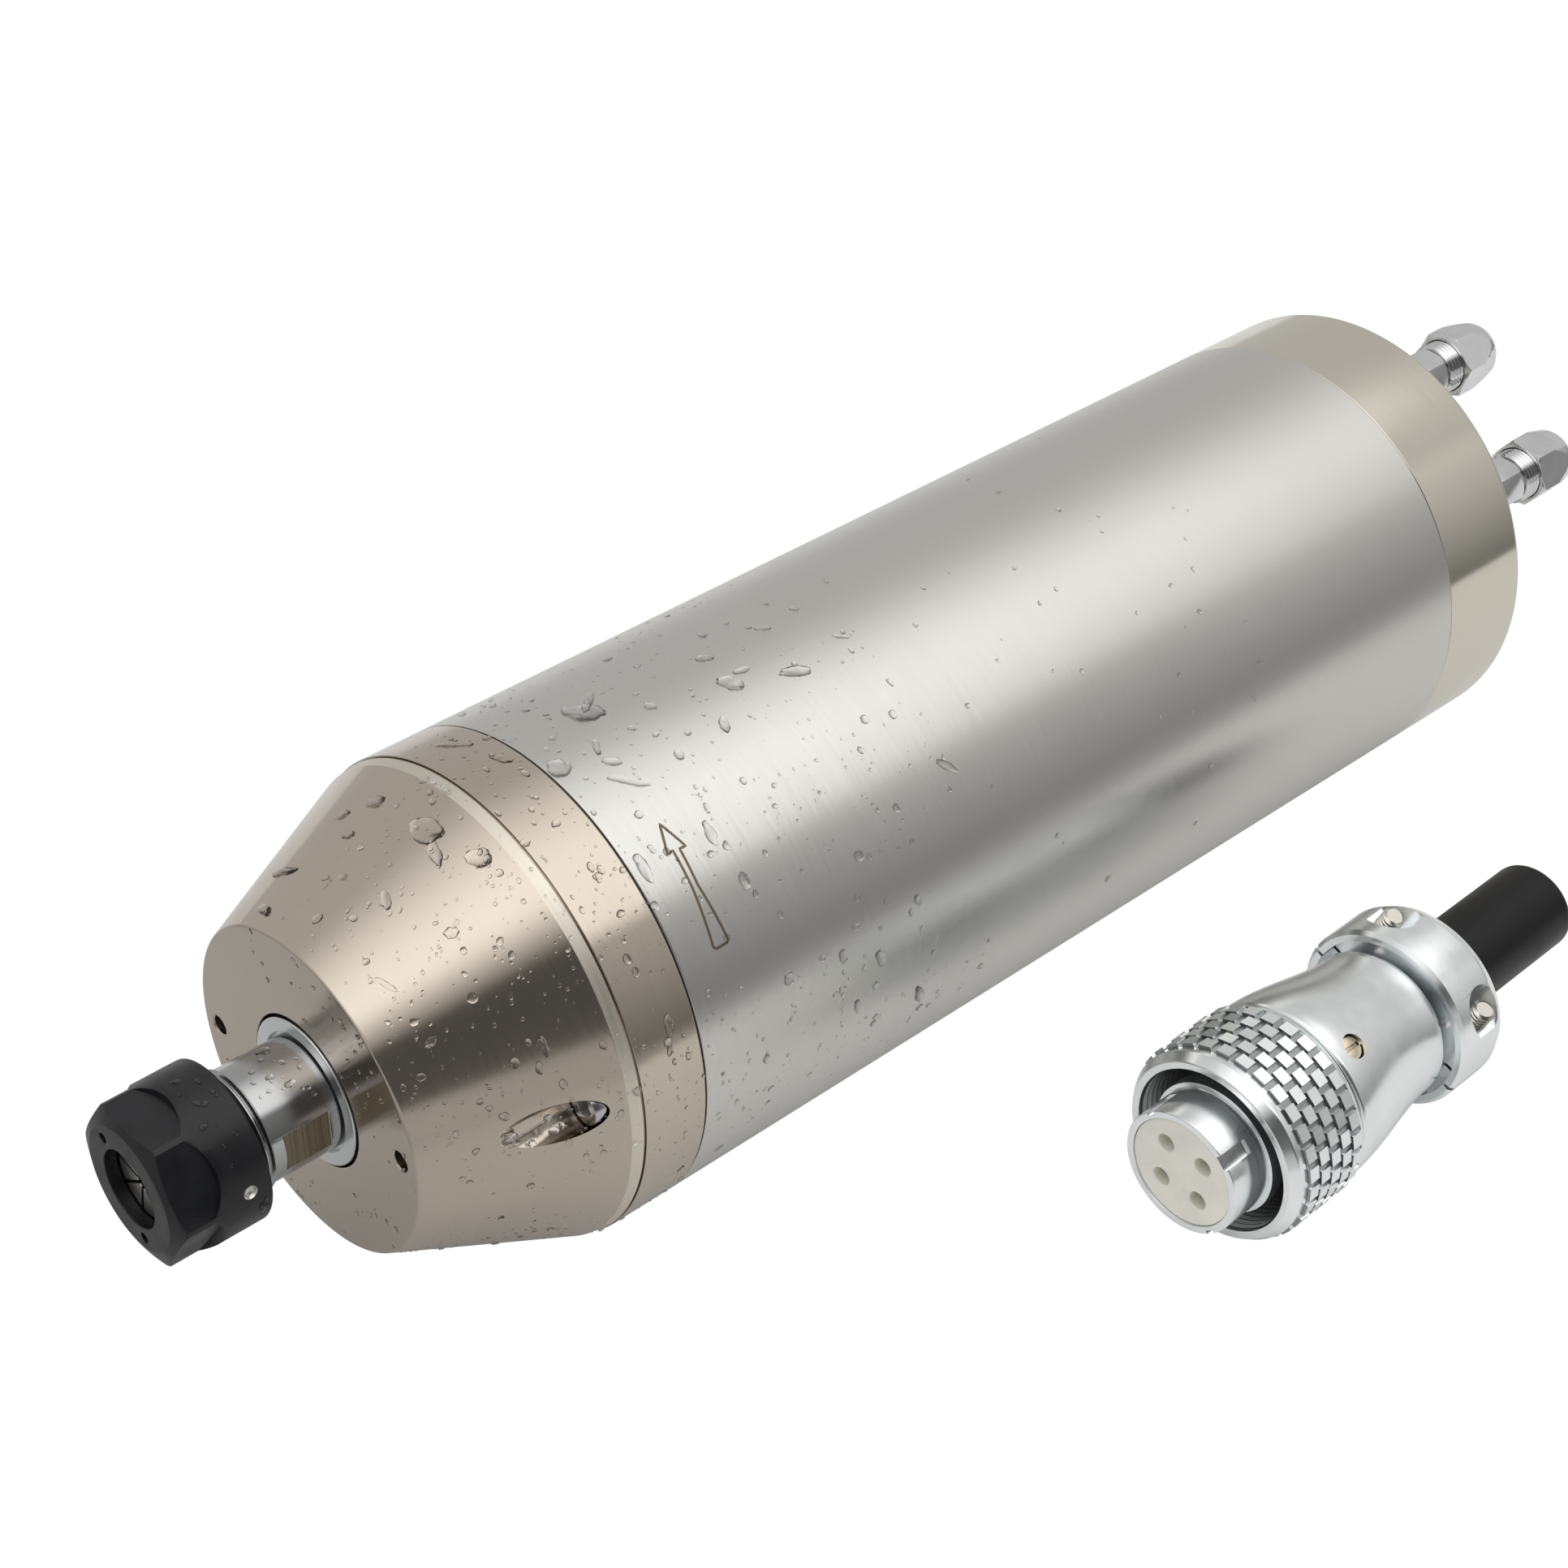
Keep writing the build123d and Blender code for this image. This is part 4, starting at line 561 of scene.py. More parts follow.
TUBE_DROPS = (
    (69.7, 86.9, 4.2, 2.5, 55), (72.8, 84.6, 3.9, 0.9, -40), (55.9, 98.5, 2.2, 2.1, 27),
    (64.9, 109.4, 4.2, 0.9, 43), (97.1, 99.1, 2.5, 2.0, 63), (101.3, 97.4, 1.9, 0.8, 7),
    (109.7, 104.4, 3.4, 1.3, 25), (65.2, 98.0, 2.2, 0.7, 118), (65.1, 103.3, 2.0, 0.9, 39),
    (98.5, 88.9, 1.8, 1.0, 30), (89.1, 108.0, 2.0, 1.0, 115), (80.7, 94.7, 1.3, 1.0, 50),
    (113.6, 88.7, 1.7, 0.7, 34), (123.8, 101.6, 1.8, 0.5, 41), (125.6, 139.8, 2.7, 0.9, 49),
    (71.9, 127.9, 2.5, 1.0, 96), (73.4, 140.0, 1.7, 1.0, 85), (56.2, 127.7, 3.1, 1.1, 90),
    (75.3, 164.1, 1.3, 1.0, 91), (88.7, 166.1, 1.6, 1.0, 91), (97.6, 171.8, 1.8, 1.1, 72),
    (91.4, 181.2, 2.0, 0.8, 79), (108.7, 189.6, 3.2, 1.0, 69), (108.7, 163.4, 1.2, 0.9, 76),
    (47.2, 75.5, 4.2, 0.9, 58), (49.6, 88.2, 2.6, 0.9, 70), (47.6, 159.0, 2.2, 0.9, 97),
    (47.3, 124.7, 0.9, 0.9, 54))
NOSE_DROPS = (
    (29.4, 92.8, 3.7, 2.5, 75), (27.4, 99.7, 2.8, 1.1, 111), (32.0, 107.5, 2.4, 1.8, 53),
    (3.9, 67.8, 2.7, 1.2, 98), (11.8, 61.5, 4.2, 1.1, 80), (21.7, 75.1, 1.3, 1.0, 51),
    (29.1, 74.4, 2.1, 1.4, 55), (24.8, 66.8, 1.8, 1.0, 59), (16.3, 100.2, 2.0, 0.9, 120),
    (7.7, 119.0, 2.5, 0.5, 67), (21.0, 117.9, 1.4, 1.1, 12), (25.3, 151.6, 2.2, 0.7, 96),
    (16.2, 172.7, 1.6, 1.3, 7), (9.2, 138.7, 1.3, 0.7, -18))
SHAFT_DROPS = (
    (-5.8, 72.5, 1.4, 1.2, 31), (-9.1, 106.6, 0.9, 0.6, 16), (-6.7, 121.0, 1.25, 0.6, -6),
    (-5.4, 98.9, 0.7, 0.55, 63), (-11.0, 92.0, 0.6, 0.5, 20), (-10.8, 118.0, 0.6, 0.4, 10),
    (-3.4, 112.0, 0.5, 0.5, 0), (-8.0, 84.0, 0.6, 0.5, 40), (-12.2, 104.0, 0.5, 0.4, 0),
    (-4.2, 132.0, 0.6, 0.4, 30))
NUT_DROPS = (
    (-24.9, 106.5, 1.0, 0.5, 60), (-23.7, 110.0, 0.8, 0.5, -30), (-26.4, 122.1, 0.8, 0.7, 0),
    (-21.2, 104.9, 0.5, 0.5, 0), (-22.0, 135.0, 0.7, 0.5, 80), (-24.6, 84.0, 0.8, 0.6, 20),
    (-21.0, 195.0, 1.6, 0.7, 75), (-25.2, 152.0, 0.6, 0.5, 90))


# What a user would change

class SpindleBodySizes(bpy.types.PropertyGroup):
    body_radius: bpy.props.FloatProperty(
        name="Body radius", description="Outside radius of the straight body",
        default=TUBE_BOX[1][2], min=0.01, subtype="DISTANCE", unit="LENGTH")
    nose_face_radius: bpy.props.FloatProperty(
        name="Nose face radius", description="Outside radius of the flat nose face",
        default=0.0334, min=0.005, subtype="DISTANCE", unit="LENGTH")
    cone_length: bpy.props.FloatProperty(
        name="Cone length", description="Length of the nose cone",
        default=0.036, min=0.005, subtype="DISTANCE", unit="LENGTH")
    segments: bpy.props.IntProperty(
        name="Segments", description="Faces round the body", default=256, min=64, max=512)


class SpindleFinishes(bpy.types.PropertyGroup):
    nose: bpy.props.FloatVectorProperty(
        name="Nose steel", description="Colour of the warm ground steel of nose and band",
        default=(0.565, 0.502, 0.432), min=0.0, max=1.0, subtype="COLOR")
    tube: bpy.props.FloatVectorProperty(
        name="Tube steel", description="Colour of the stainless body tube",
        default=(0.65, 0.645, 0.615), min=0.0, max=1.0, subtype="COLOR")
    cap: bpy.props.FloatVectorProperty(
        name="Cap steel", description="Colour of the rear cap",
        default=(0.67, 0.64, 0.56), min=0.0, max=1.0, subtype="COLOR")
    plating: bpy.props.FloatVectorProperty(
        name="Plating", description="Colour of the plug's bright plating",
        default=(0.90, 0.93, 0.94), min=0.0, max=1.0, subtype="COLOR")
    black: bpy.props.FloatVectorProperty(
        name="Black oxide", description="Colour of the collet nut",
        default=(0.0062, 0.0067, 0.0088), min=0.0, max=1.0, subtype="COLOR")
    tube_roughness: bpy.props.FloatProperty(
        name="Tube roughness", description="Roughness of the body tube",
        default=0.32, min=0.0, max=1.0, subtype="FACTOR")
    nose_roughness: bpy.props.FloatProperty(
        name="Nose roughness", description="Roughness of the nose cone",
        default=0.18, min=0.0, max=1.0, subtype="FACTOR")


class SpindleWater(bpy.types.PropertyGroup):
    density: bpy.props.FloatProperty(
        name="Drop density", description="Drops per square metre on the nose", default=22000.0, min=0.0)
    size: bpy.props.FloatProperty(
        name="Drop size", description="Radius of a middling drop",
        default=0.00062, min=0.0001, subtype="DISTANCE", unit="LENGTH")
    seed: bpy.props.IntProperty(name="Seed", description="Where the drops fall", default=7, min=0)


class SpindleStage(bpy.types.PropertyGroup):
    floor_colour: bpy.props.FloatVectorProperty(
        name="Floor colour", description="Colour of the plain floor",
        default=(0.86, 0.86, 0.86), min=0.0, max=1.0, subtype="COLOR")
    softbox: bpy.props.FloatProperty(
        name="Softbox", description="Brightness that the softbox overhead adds", default=0.92, min=0.0)
    wall: bpy.props.FloatProperty(
        name="Wall", description="Brightness of the pale wall behind", default=0.62, min=0.0)
    room: bpy.props.FloatProperty(
        name="Room", description="Brightness of the dim room in front", default=0.10, min=0.0)
    card: bpy.props.FloatProperty(
        name="Card", description="Brightness of the white card below eye level", default=0.52, min=0.0)
    camera_place: bpy.props.FloatVectorProperty(
        name="Camera place", description="Where the camera stands", default=(-0.2145, -0.3634, 0.37388),
        subtype="TRANSLATION", unit="LENGTH")
    camera_lens: bpy.props.FloatProperty(
        name="Camera lens", description="Focal length of the camera in millimetres", default=69.65, min=10.0)


# The pieces, one operator for each

class SPINDLE_OT_stage(bpy.types.Operator):
    """Sets the floor, the surround and the camera"""
    bl_idname = "spindle.stage"
    bl_label = "Stage and camera"

    def execute(self, context):
        stage = context.scene.spindle_stage
        scene = context.scene
        scene.view_settings.view_transform = "Standard"
        floor = self.floor(stage.floor_colour[:])
        self.surround(scene, stage)
        data = bpy.data.cameras.new("photo_camera")
        data.lens = stage.camera_lens
        data.sensor_width = 36.0
        data.sensor_fit = "HORIZONTAL"
        data.clip_start = 0.01
        camera = bpy.data.objects.new("photo_camera", data)
        scene.collection.objects.link(camera)
        forward = Vector((0.5436, 0.5938, -0.5931)).normalized()
        right = Vector((0.7376, -0.6753, 0.0)).normalized()
        up = right.cross(forward)
        turn = Matrix((right, up, -forward)).transposed().to_4x4()
        camera.matrix_world = Matrix.Translation(Vector(stage.camera_place)) @ turn
        scene.camera = camera
        return {"FINISHED"}

    def floor(self, colour):
        bm = bmesh.new()
        height = CAD_BOX[0][2] - 0.0002
        corners = ((-0.9, -0.27), (1.2, -0.27), (1.2, 0.9), (-0.9, 0.9))
        bm.faces.new([bm.verts.new((x, y, height)) for x, y in corners])
        floor = mesh_object("studio_floor", bm)
        if floor.data.polygons[0].normal.z < 0:
            floor.data.flip_normals()
        finish = Finish("studio_floor_white").set(Roughness=0.9, Specular_IOR_Level=0.1)
        # Painted shade: the floor's colour falls to 0.42 of itself towards -X, so that the metal reflects a
        # shaded floor on the left.
        split = wired(finish.tree, "ShaderNodeSeparateXYZ", {"Vector": finish.place.outputs["Object"]})
        along = finish.between(split.outputs["X"], 0.0, 1.0, (-0.12, 0.10))
        finish.colour(along, [(0.0, shade(colour, 0.42)), (1.0, shade(colour, 1.0))])
        camera_ray = wired(finish.tree, "ShaderNodeLightPath").outputs["Is Camera Ray"]
        glow = wired(finish.tree, "ShaderNodeEmission", {"Strength": 1.1, "Color": (1, 1, 1, 1)})
        part = wired(finish.tree, "ShaderNodeMath", {0: camera_ray, 1: 0.78, 2: 0.12},
                     operation="MULTIPLY_ADD")
        mix = wired(finish.tree, "ShaderNodeMixShader", {
            "Fac": part.outputs[0], 1: finish.shader.outputs["BSDF"], 2: glow.outputs["Emission"]})
        finish.link(mix.outputs["Shader"], finish.out.inputs["Surface"])
        floor.data.materials.append(finish.material)
        return floor

    def surround(self, scene, stage):
        """A studio by direction: softbox overhead, dim room in front, pale wall behind."""
        world = bpy.data.worlds.new("studio_surround")
        scene.world = world
        world.use_nodes = True
        tree = world.node_tree
        tree.nodes.clear()

        def calc(*terms):
            return reckoned(tree, *terms)

        def ease(value, low, high):
            """0 below low and 1 above high, smooth between; high may be the smaller."""
            turned_round = high < low
            return wired(tree, "ShaderNodeMapRange", {
                "Value": value, "From Min": min(low, high), "From Max": max(low, high),
                "To Min": 1.0 if turned_round else 0.0, "To Max": 0.0 if turned_round else 1.0},
                interpolation_type="SMOOTHSTEP").outputs["Result"]

        def blend(fac, a, b):
            return calc("ADD", calc("MULTIPLY", calc("SUBTRACT", 1.0, fac), a), calc("MULTIPLY", fac, b))

        way = wired(tree, "ShaderNodeTexCoord").outputs["Generated"]
        split = wired(tree, "ShaderNodeSeparateXYZ", {"Vector": way}).outputs
        dx, dy, dz = split["X"], split["Y"], split["Z"]
        up = calc("MAXIMUM", dz, 0.02)
        px, py = calc("DIVIDE", dx, up), calc("DIVIDE", dy, up)
        right = ease(dx, 0.30, 0.50)
        dim = blend(right, stage.room, calc("ADD", calc("MULTIPLY", dz, 0.78), 0.34))
        lit = calc("ADD", calc("MULTIPLY", calc("MAXIMUM", dy, 0.0), -0.06), stage.wall)
        lit = calc("ADD", lit, calc("MULTIPLY", ease(dx, 0.3, -0.1), 0.04))
        sky = blend(ease(py, -0.62, -1.05), lit, dim)
        front = calc("ADD", py, calc("MULTIPLY", dx, 0.64))
        band = calc("MULTIPLY", ease(py, 0.85, -0.28), ease(front, -0.98, -0.55))
        band = calc("MULTIPLY", band, calc("MULTIPLY", ease(px, 1.03, 0.985), ease(px, -1.25, -0.8)))
        sky = calc("ADD", sky, calc("MULTIPLY", band, stage.softbox))
        table = blend(ease(dx, 0.25, 0.45), stage.card, 0.31)
        edge = calc("ADD", dz, calc("MULTIPLY", dx, 0.33))
        level = blend(ease(edge, -0.025, -0.005), table, sky)
        tint = wired(tree, "ShaderNodeCombineColor", {
            "Red": level, "Green": calc("MULTIPLY", level, 0.99), "Blue": calc("MULTIPLY", level, 0.975)})
        soft = wired(tree, "ShaderNodeBackground", {"Color": tint.outputs["Color"]})
        white = wired(tree, "ShaderNodeBackground", {"Color": (1, 1, 1, 1)})
        mix = wired(tree, "ShaderNodeMixShader", {
            0: wired(tree, "ShaderNodeLightPath").outputs["Is Camera Ray"],
            1: soft.outputs["Background"], 2: white.outputs["Background"]})
        wired(tree, "ShaderNodeOutputWorld", {"Surface": mix.outputs["Shader"]})


class SPINDLE_OT_body(bpy.types.Operator):
    """Builds the nose cone, the band, the joint line, the tube and the rear cap"""
    bl_idname = "spindle.body"
    bl_label = "Body"

    def execute(self, context):
        sizes = context.scene.spindle_body
        finishes = context.scene.spindle_finishes
        body_r = sizes.body_radius / MM
        face_r = sizes.nose_face_radius / MM
        cone_x = sizes.cone_length / MM
        around = sizes.segments
        nose = turned_metal("nose_ground_steel", finishes.nose[:], finishes.nose_roughness, 0.85)
        cone = turned("nose_cone_skin", [
            (0, 15.72, 0.3), (0, face_r, 0.45), (cone_x, body_r - 0.7, 0.1), (38.62, body_r - 0.3, 0.1),
            (38.62, body_r - 1.0), (38.8, body_r - 1.0), (38.8, 34.05),
            (10.2, 34.05), (10.2, 15.72)], around, longest=3.0)
        cutters = []
        for degrees in NOSE_SCREW_ANGLES:
            centre = polar(NOSE_SCREW_CIRCLE, degrees)
            cutters.append(turned("pocket", [(-1, 0), (-1, 4.0), (34.0, 4.0, 0.6), (34.0, 0)], 64, centre))
            cutters.append(bored(0, 40, 2.05, centre))
        for degrees in (-5.0, 175.0):
            cutters.append(turned("spanner_hole", [
                (-1, 0), (-1, 3.3), (0.3, 2.0), (6.0, 2.0), (6.9, 0)], 48, polar(SPANNER_CIRCLE, degrees)))
        carve(cone, cutters)
        finished(shaded(cone), nose, "spindle", "nose_steel", "nose_cone")
        cone.data.materials.append(turned_metal("bright_strip_steel", (0.74, 0.69, 0.61), 0.46, 0.3))
        for face in cone.data.polygons:
            middle = face.center
            if middle.x > sizes.cone_length + 0.00005 and math.hypot(middle.y, middle.z) > 0.0491:
                face.material_index = 1
        band = turned("front_band_skin", [
            (10.5, 27.55), (10.5, 34.0), (38.8, 34.0), (38.8, body_r - 0.7), (38.97, body_r - 0.7),
            (38.97, body_r, 0.12), (53.12, body_r, 0.25), (53.12, 45.95), (66.0, 45.95), (66.0, 38.5),
            (46.9, 38.5), (42.9, 24.0), (38.9, 24.0), (38.9, 27.55)], around, longest=8.0)
        carve(band, [bored(37, 47, 2.05, polar(NOSE_SCREW_CIRCLE, degrees)) for degrees in NOSE_SCREW_ANGLES])
        finished(shaded(band), nose, "spindle", "nose_steel", "front_bearing_housing")
        seal = turned("joint_line_ring", [
            (53.1, 46.0), (53.1, body_r - 0.3, 0.1), (53.6, body_r - 0.3, 0.1), (53.6, 46.0)], around)
        rubber = moulded("seal_black", (0.012, 0.012, 0.012), 0.55)
        finished(shaded(seal), rubber, "spindle", "rubber", "front_joint_seal")
        tube_steel = turned_metal(
            "tube_stainless", finishes.tube[:], finishes.tube_roughness, 0.6, 0.04, 0.02)
        tube = turned("body_tube_skin", [
            (53.5, 46.0), (53.5, body_r, 0.25), (272.4, body_r, 0.18), (272.4, 46.0)], around, longest=12.0)
        finished(shaded(tube), tube_steel, "spindle", "tube_steel", "outer_tube")
        cap_steel = turned_metal("cap_steel", finishes.cap[:], 0.12, 0.5, 0.03, 0.02)
        cap = turned("rear_cap_skin", [
            (272.45, 30.0), (272.45, body_r, 0.2), (297.0, body_r, 0.8), (297.0, 0), (288.0, 0),
            (288.0, 30.0)], around, longest=6.0)
        cuts = [bored(287, 298, 13.7, SOCKET_PLACE, 96)]
        cuts += [turned("port", [
            (271, 0), (271, 3.0), (286.7, 3.0), (286.7, 4.88), (298, 4.88), (298, 0)], 48,
            polar(FITTING_CIRCLE, degrees)) for degrees in FITTING_ANGLES]
        cuts += [turned("screw_seat", [
            (271, 0), (271, 2.55), (291.6, 2.55), (291.6, 4.5), (298, 4.5), (298, 0)], 48,
            polar(CAP_SCREW_CIRCLE, degrees)) for degrees in (82, 172, 262, 352)]
        cuts += [bored(290, 298, 1.35, polar(SOCKET_SCREW_CIRCLE, degrees, SOCKET_PLACE), 24)
                 for degrees in SOCKET_SCREW_ANGLES]
        carve(cap, cuts)
        finished(shaded(cap), cap_steel, "spindle", "cap_steel", "rear_cap")
        return {"FINISHED"}


class SPINDLE_OT_shaft_end(bpy.types.Operator):
    """Builds the ground shaft with its thread and flats, and the pale dust ring"""
    bl_idname = "spindle.shaft_end"
    bl_label = "Shaft end"

    def execute(self, context):
        ground = turned_metal("shaft_ground_steel", (0.47, 0.475, 0.48), 0.16, 0.5, 0.08, 0.05, 1.4)
        shaft = turned("shaft_skin", [
            (-28.6, 10.35, 0.2), (-28.6, 12.1, 0.5),
            *thread(-24.0, 1.5, 6, ((0.12, 12.1, 0.05), (0.75, 11.55, 0.05), (1.38, 12.1, 0.05))),
            (-15.3, 12.1, 0.1), (-14.9, SHAFT_R, 0.1), (4.6, SHAFT_R), (4.6, 15.0), (38.9, 15.0),
            (38.9, 17.0), (230.0, 17.0, 0.4), (230.0, 15.5), (237.5, 15.5), (237.5, 12.5),
            (268.9, 12.5, 0.5), (268.9, 0), (22.0, 0), (22.0, 6.2), (-2.6, 6.2), (-2.6, 6.7)],
            192, longest=14.0)
        flats = []
        for side in (-1, 1):
            flat = turned("flat", [
                (-12.5, 0), (-12.5, 20, 0.2), (-2.5, 20, 0.2), (-2.5, 0)], 4, start=math.pi / 4)
            half = 20 / math.sqrt(2)
            moved(flat, Matrix.Translation((0, side * (10.85 + half) * MM, 0)))
            flats.append(flat)
        carve(shaft, flats)
        finished(shaded(shaft), ground, "rotor", "ground_steel", "rotor_shaft")
        shaft.data.materials.append(self.ground_flat())
        for face in shaft.data.polygons:
            along, aside = face.center.x / MM, abs(face.center.y) / MM
            if -12.6 < along < -2.4 and aside < 10.9 and abs(face.normal.y) > 0.99:
                face.material_index = 1
        pale = plated_metal("dust_ring_zinc", (0.74, 0.76, 0.77), 0.27, 0.25)
        ring = turned("dust_ring_skin", [
            (0.6, 11.59), (0.6, 12.3, 0.1), (-0.4, 12.3, 0.15), (-0.4, 15.17, 0.3), (4.55, 15.17),
            (4.55, 11.59)], 160)
        finished(shaded(ring), pale, "rotor", "zinc_ring", "dust_ring")
        return {"FINISHED"}

    def ground_flat(self):
        """Brownish steel with upright grinding lines."""
        finish = Finish("ground_flat_steel").set(Metallic=1.0)
        lines = finish.noise(1.0, (2600.0, 120.0, 18.0), 2.0)
        finish.colour(lines, [(0.3, (0.16, 0.135, 0.095)), (0.7, (0.30, 0.265, 0.19))])
        finish.roughness(lines, 0.34, 0.5)
        finish.bump(lines, 0.3, 0.00004)
        return finish.material


class SPINDLE_OT_collet_chuck(bpy.types.Operator):
    """Builds the slotted collet and the black collet nut with its flats"""
    bl_idname = "spindle.collet_chuck"
    bl_label = "Collet and nut"

    def execute(self, context):
        finishes = context.scene.spindle_finishes
        steel = turned_metal("collet_steel", (0.56, 0.55, 0.53), 0.3, 0.4, 0.1, 0.08, 1.6)
        collet = turned("collet_skin", [
            (-35.2, 1.5875, 0.2), (-35.2, 7.5, 0.2), (-31.0, 10.25, 0.15), (-30.5, 10.25, 0.1), (-30.5, 8.8),
            (-28.3, 8.8), (-28.3, 10.27), (-4.5, 6.92, 0.2), (-4.5, 2.4), (-15.2, 2.4), (-15.2, 1.5875)],
            160, longest=4.0)
        slots = []
        for k in range(4):
            slot = block("slot", (-36, -0.35, -15), (-8.5, 0.35, 15))
            slots.append(moved(slot, about_x(12 + 45 * k)))
        carve(collet, slots)
        finished(shaded(collet), steel, "collet", "bearing_steel", "collet")
        black = dark_metal("nut_black_oxide", finishes.black[:], 0.36, 0.25)
        nut = turned("collet_nut_skin", [
            (-38.0, 7.9, 0.25), (-38.0, 12.64, 0.15), (-36.6, 16.2, 0.2), (-18.6, 16.2, 0.6), (-18.6, 12.68),
            (-19.1, 12.18), (-29.0, 12.18), (-29.0, 9.5, 0.1), (-30.3, 9.5, 0.1), (-30.3, 10.85),
            (-30.8, 10.85), (-35.35, 7.9, 0.2)], 192, longest=2.5)
        cutters = []
        for k in range(6):
            drum = turned("flat_drum", [(0, 0), (0, 12.7), (8.0, 12.7), (8.0, 0)], 128)
            cutters.append(stood(drum, (-28.2 - 12.7, 0, 14.3), 2.5 + 30 + 60 * k))
        for degrees in (50.0, 254.0):
            cutters.append(turned("pin_hole", [
                (-39, 0), (-39, 1.3), (-37.9, 1.1), (-36.4, 1.1), (-36.0, 0)], 32, polar(10.2, degrees)))
        dimple = turned("dimple", [(0, 0), (0.6, 1.1), (1.5, 1.5), (4.0, 1.5), (4.0, 0)], 48)
        cutters.append(stood(dimple, (DIMPLE_X, 0, 14.9), DIMPLE_ANGLE))
        carve(nut, cutters)
        broken_edges(nut, 0.18, 24.0)
        finished(shaded(nut, 40.0), black, "collet_nut", "black_oxide", "collet_nut")
        nut.data.materials.append(plated_metal("drilled_bare_steel", (0.72, 0.71, 0.69), 0.3, 0.4))
        axis = Vector((0, *polar(1.0, DIMPLE_ANGLE)))
        for face in nut.data.polygons:
            arm = face.center - Vector((DIMPLE_X * MM, 0, 0))
            depth = arm.dot(axis)
            if 10 * MM < depth < 16.1 * MM and (arm - axis * depth).length < 1.7 * MM:
                face.material_index = 1
        return {"FINISHED"}


class SPINDLE_OT_rear_fittings(bpy.types.Operator):
    """Dresses the two water fittings and their nuts"""
    bl_idname = "spindle.rear_fittings"
    bl_label = "Water fittings"

    def execute(self, context):
        chrome = plated_metal("fitting_chrome", (0.72, 0.73, 0.74), 0.13, 0.08)
        stems = broken_edges(merged_copy("water_fittings", "water_fittings_skin"), 0.12, 30.0)
        start, end = 313.3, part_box("fitting_nut_upper")[0][0] / MM + 0.6
        first, pitch = start + 0.05, 1.05
        count = math.ceil((end - 0.9 - first) / pitch)
        profile = ((0.0, 5.35), (0.3, 6.05), (0.5, 6.05), (0.8, 5.35))
        rooms, threads = [], []
        for degrees in FITTING_ANGLES:
            centre = polar(FITTING_CIRCLE, degrees)
            rooms.append(turned("thread_room", [
                (start, 5.3), (start, 8.0), (end, 8.0), (end, 5.3)], 64, centre))
            threads.append(turned("fine_thread", [
                (start - 0.1, 5.0), (start - 0.1, 5.35), *thread(first, pitch, count, profile),
                (end + 0.1, 5.35), (end + 0.1, 5.0)], 64, centre))
        carve(stems, rooms)
        carve(stems, threads, "UNION")
        finished(shaded(stems, 35.0), chrome, "spindle", "fitting_chrome", "water_fittings")
        for node in ("fitting_nut_upper", "fitting_nut_lower"):
            dressed(node, chrome, node, "fitting_chrome", 0.2, 26.0, 38.0, finish=flat_faced)
        return {"FINISHED"}


class SPINDLE_OT_power_socket(bpy.types.Operator):
    """Dresses the power socket in the rear face"""
    bl_idname = "spindle.power_socket"
    bl_label = "Power socket"

    def execute(self, context):
        chrome = bpy.data.materials["fitting_chrome"]
        ivory = moulded("insulator_ivory", (0.96, 0.95, 0.87), 0.38)
        brass = plated_metal("pin_brass", (0.72, 0.52, 0.22), 0.2, 0.05)
        shell = turned("socket_shell_skin", [
            (297.05, 13.7), (297.05, 22.0, 0.2), (299.5, 22.0, 0.3), (299.5, 17.2),
            *thread(301.0, 1.5, 6, ((0.0, 17.2, 0.06), (0.6, 16.75, 0.06), (1.2, 17.2, 0.06))),
            (312.0, 17.2, 0.5), (312.0, 13.7, 0.3)], 128, SOCKET_PLACE)
        carve(shell, [turned("flange_hole", [
            (290, 0), (290, 1.35), (298.6, 1.35), (299.4, 2.15), (301, 2.15), (301, 0)], 32,
            polar(SOCKET_SCREW_CIRCLE, degrees, SOCKET_PLACE)) for degrees in SOCKET_SCREW_ANGLES])
        finished(shaded(shell), chrome, "spindle", "plug_nickel", "socket_shell")
        dressed("socket_insert", ivory, "spindle", "ivory", 0.15)
        dressed("socket_pins", brass, "spindle", "brass")
        steel = plated_metal("screw_steel", (0.55, 0.55, 0.56), 0.24, 0.1)
        for node in ("socket_screws", "rear_cap_screws", "nose_cone_screws"):
            dressed(node, steel, "spindle", "screw_steel", 0.1, 35.0, 35.0)
        return {"FINISHED"}


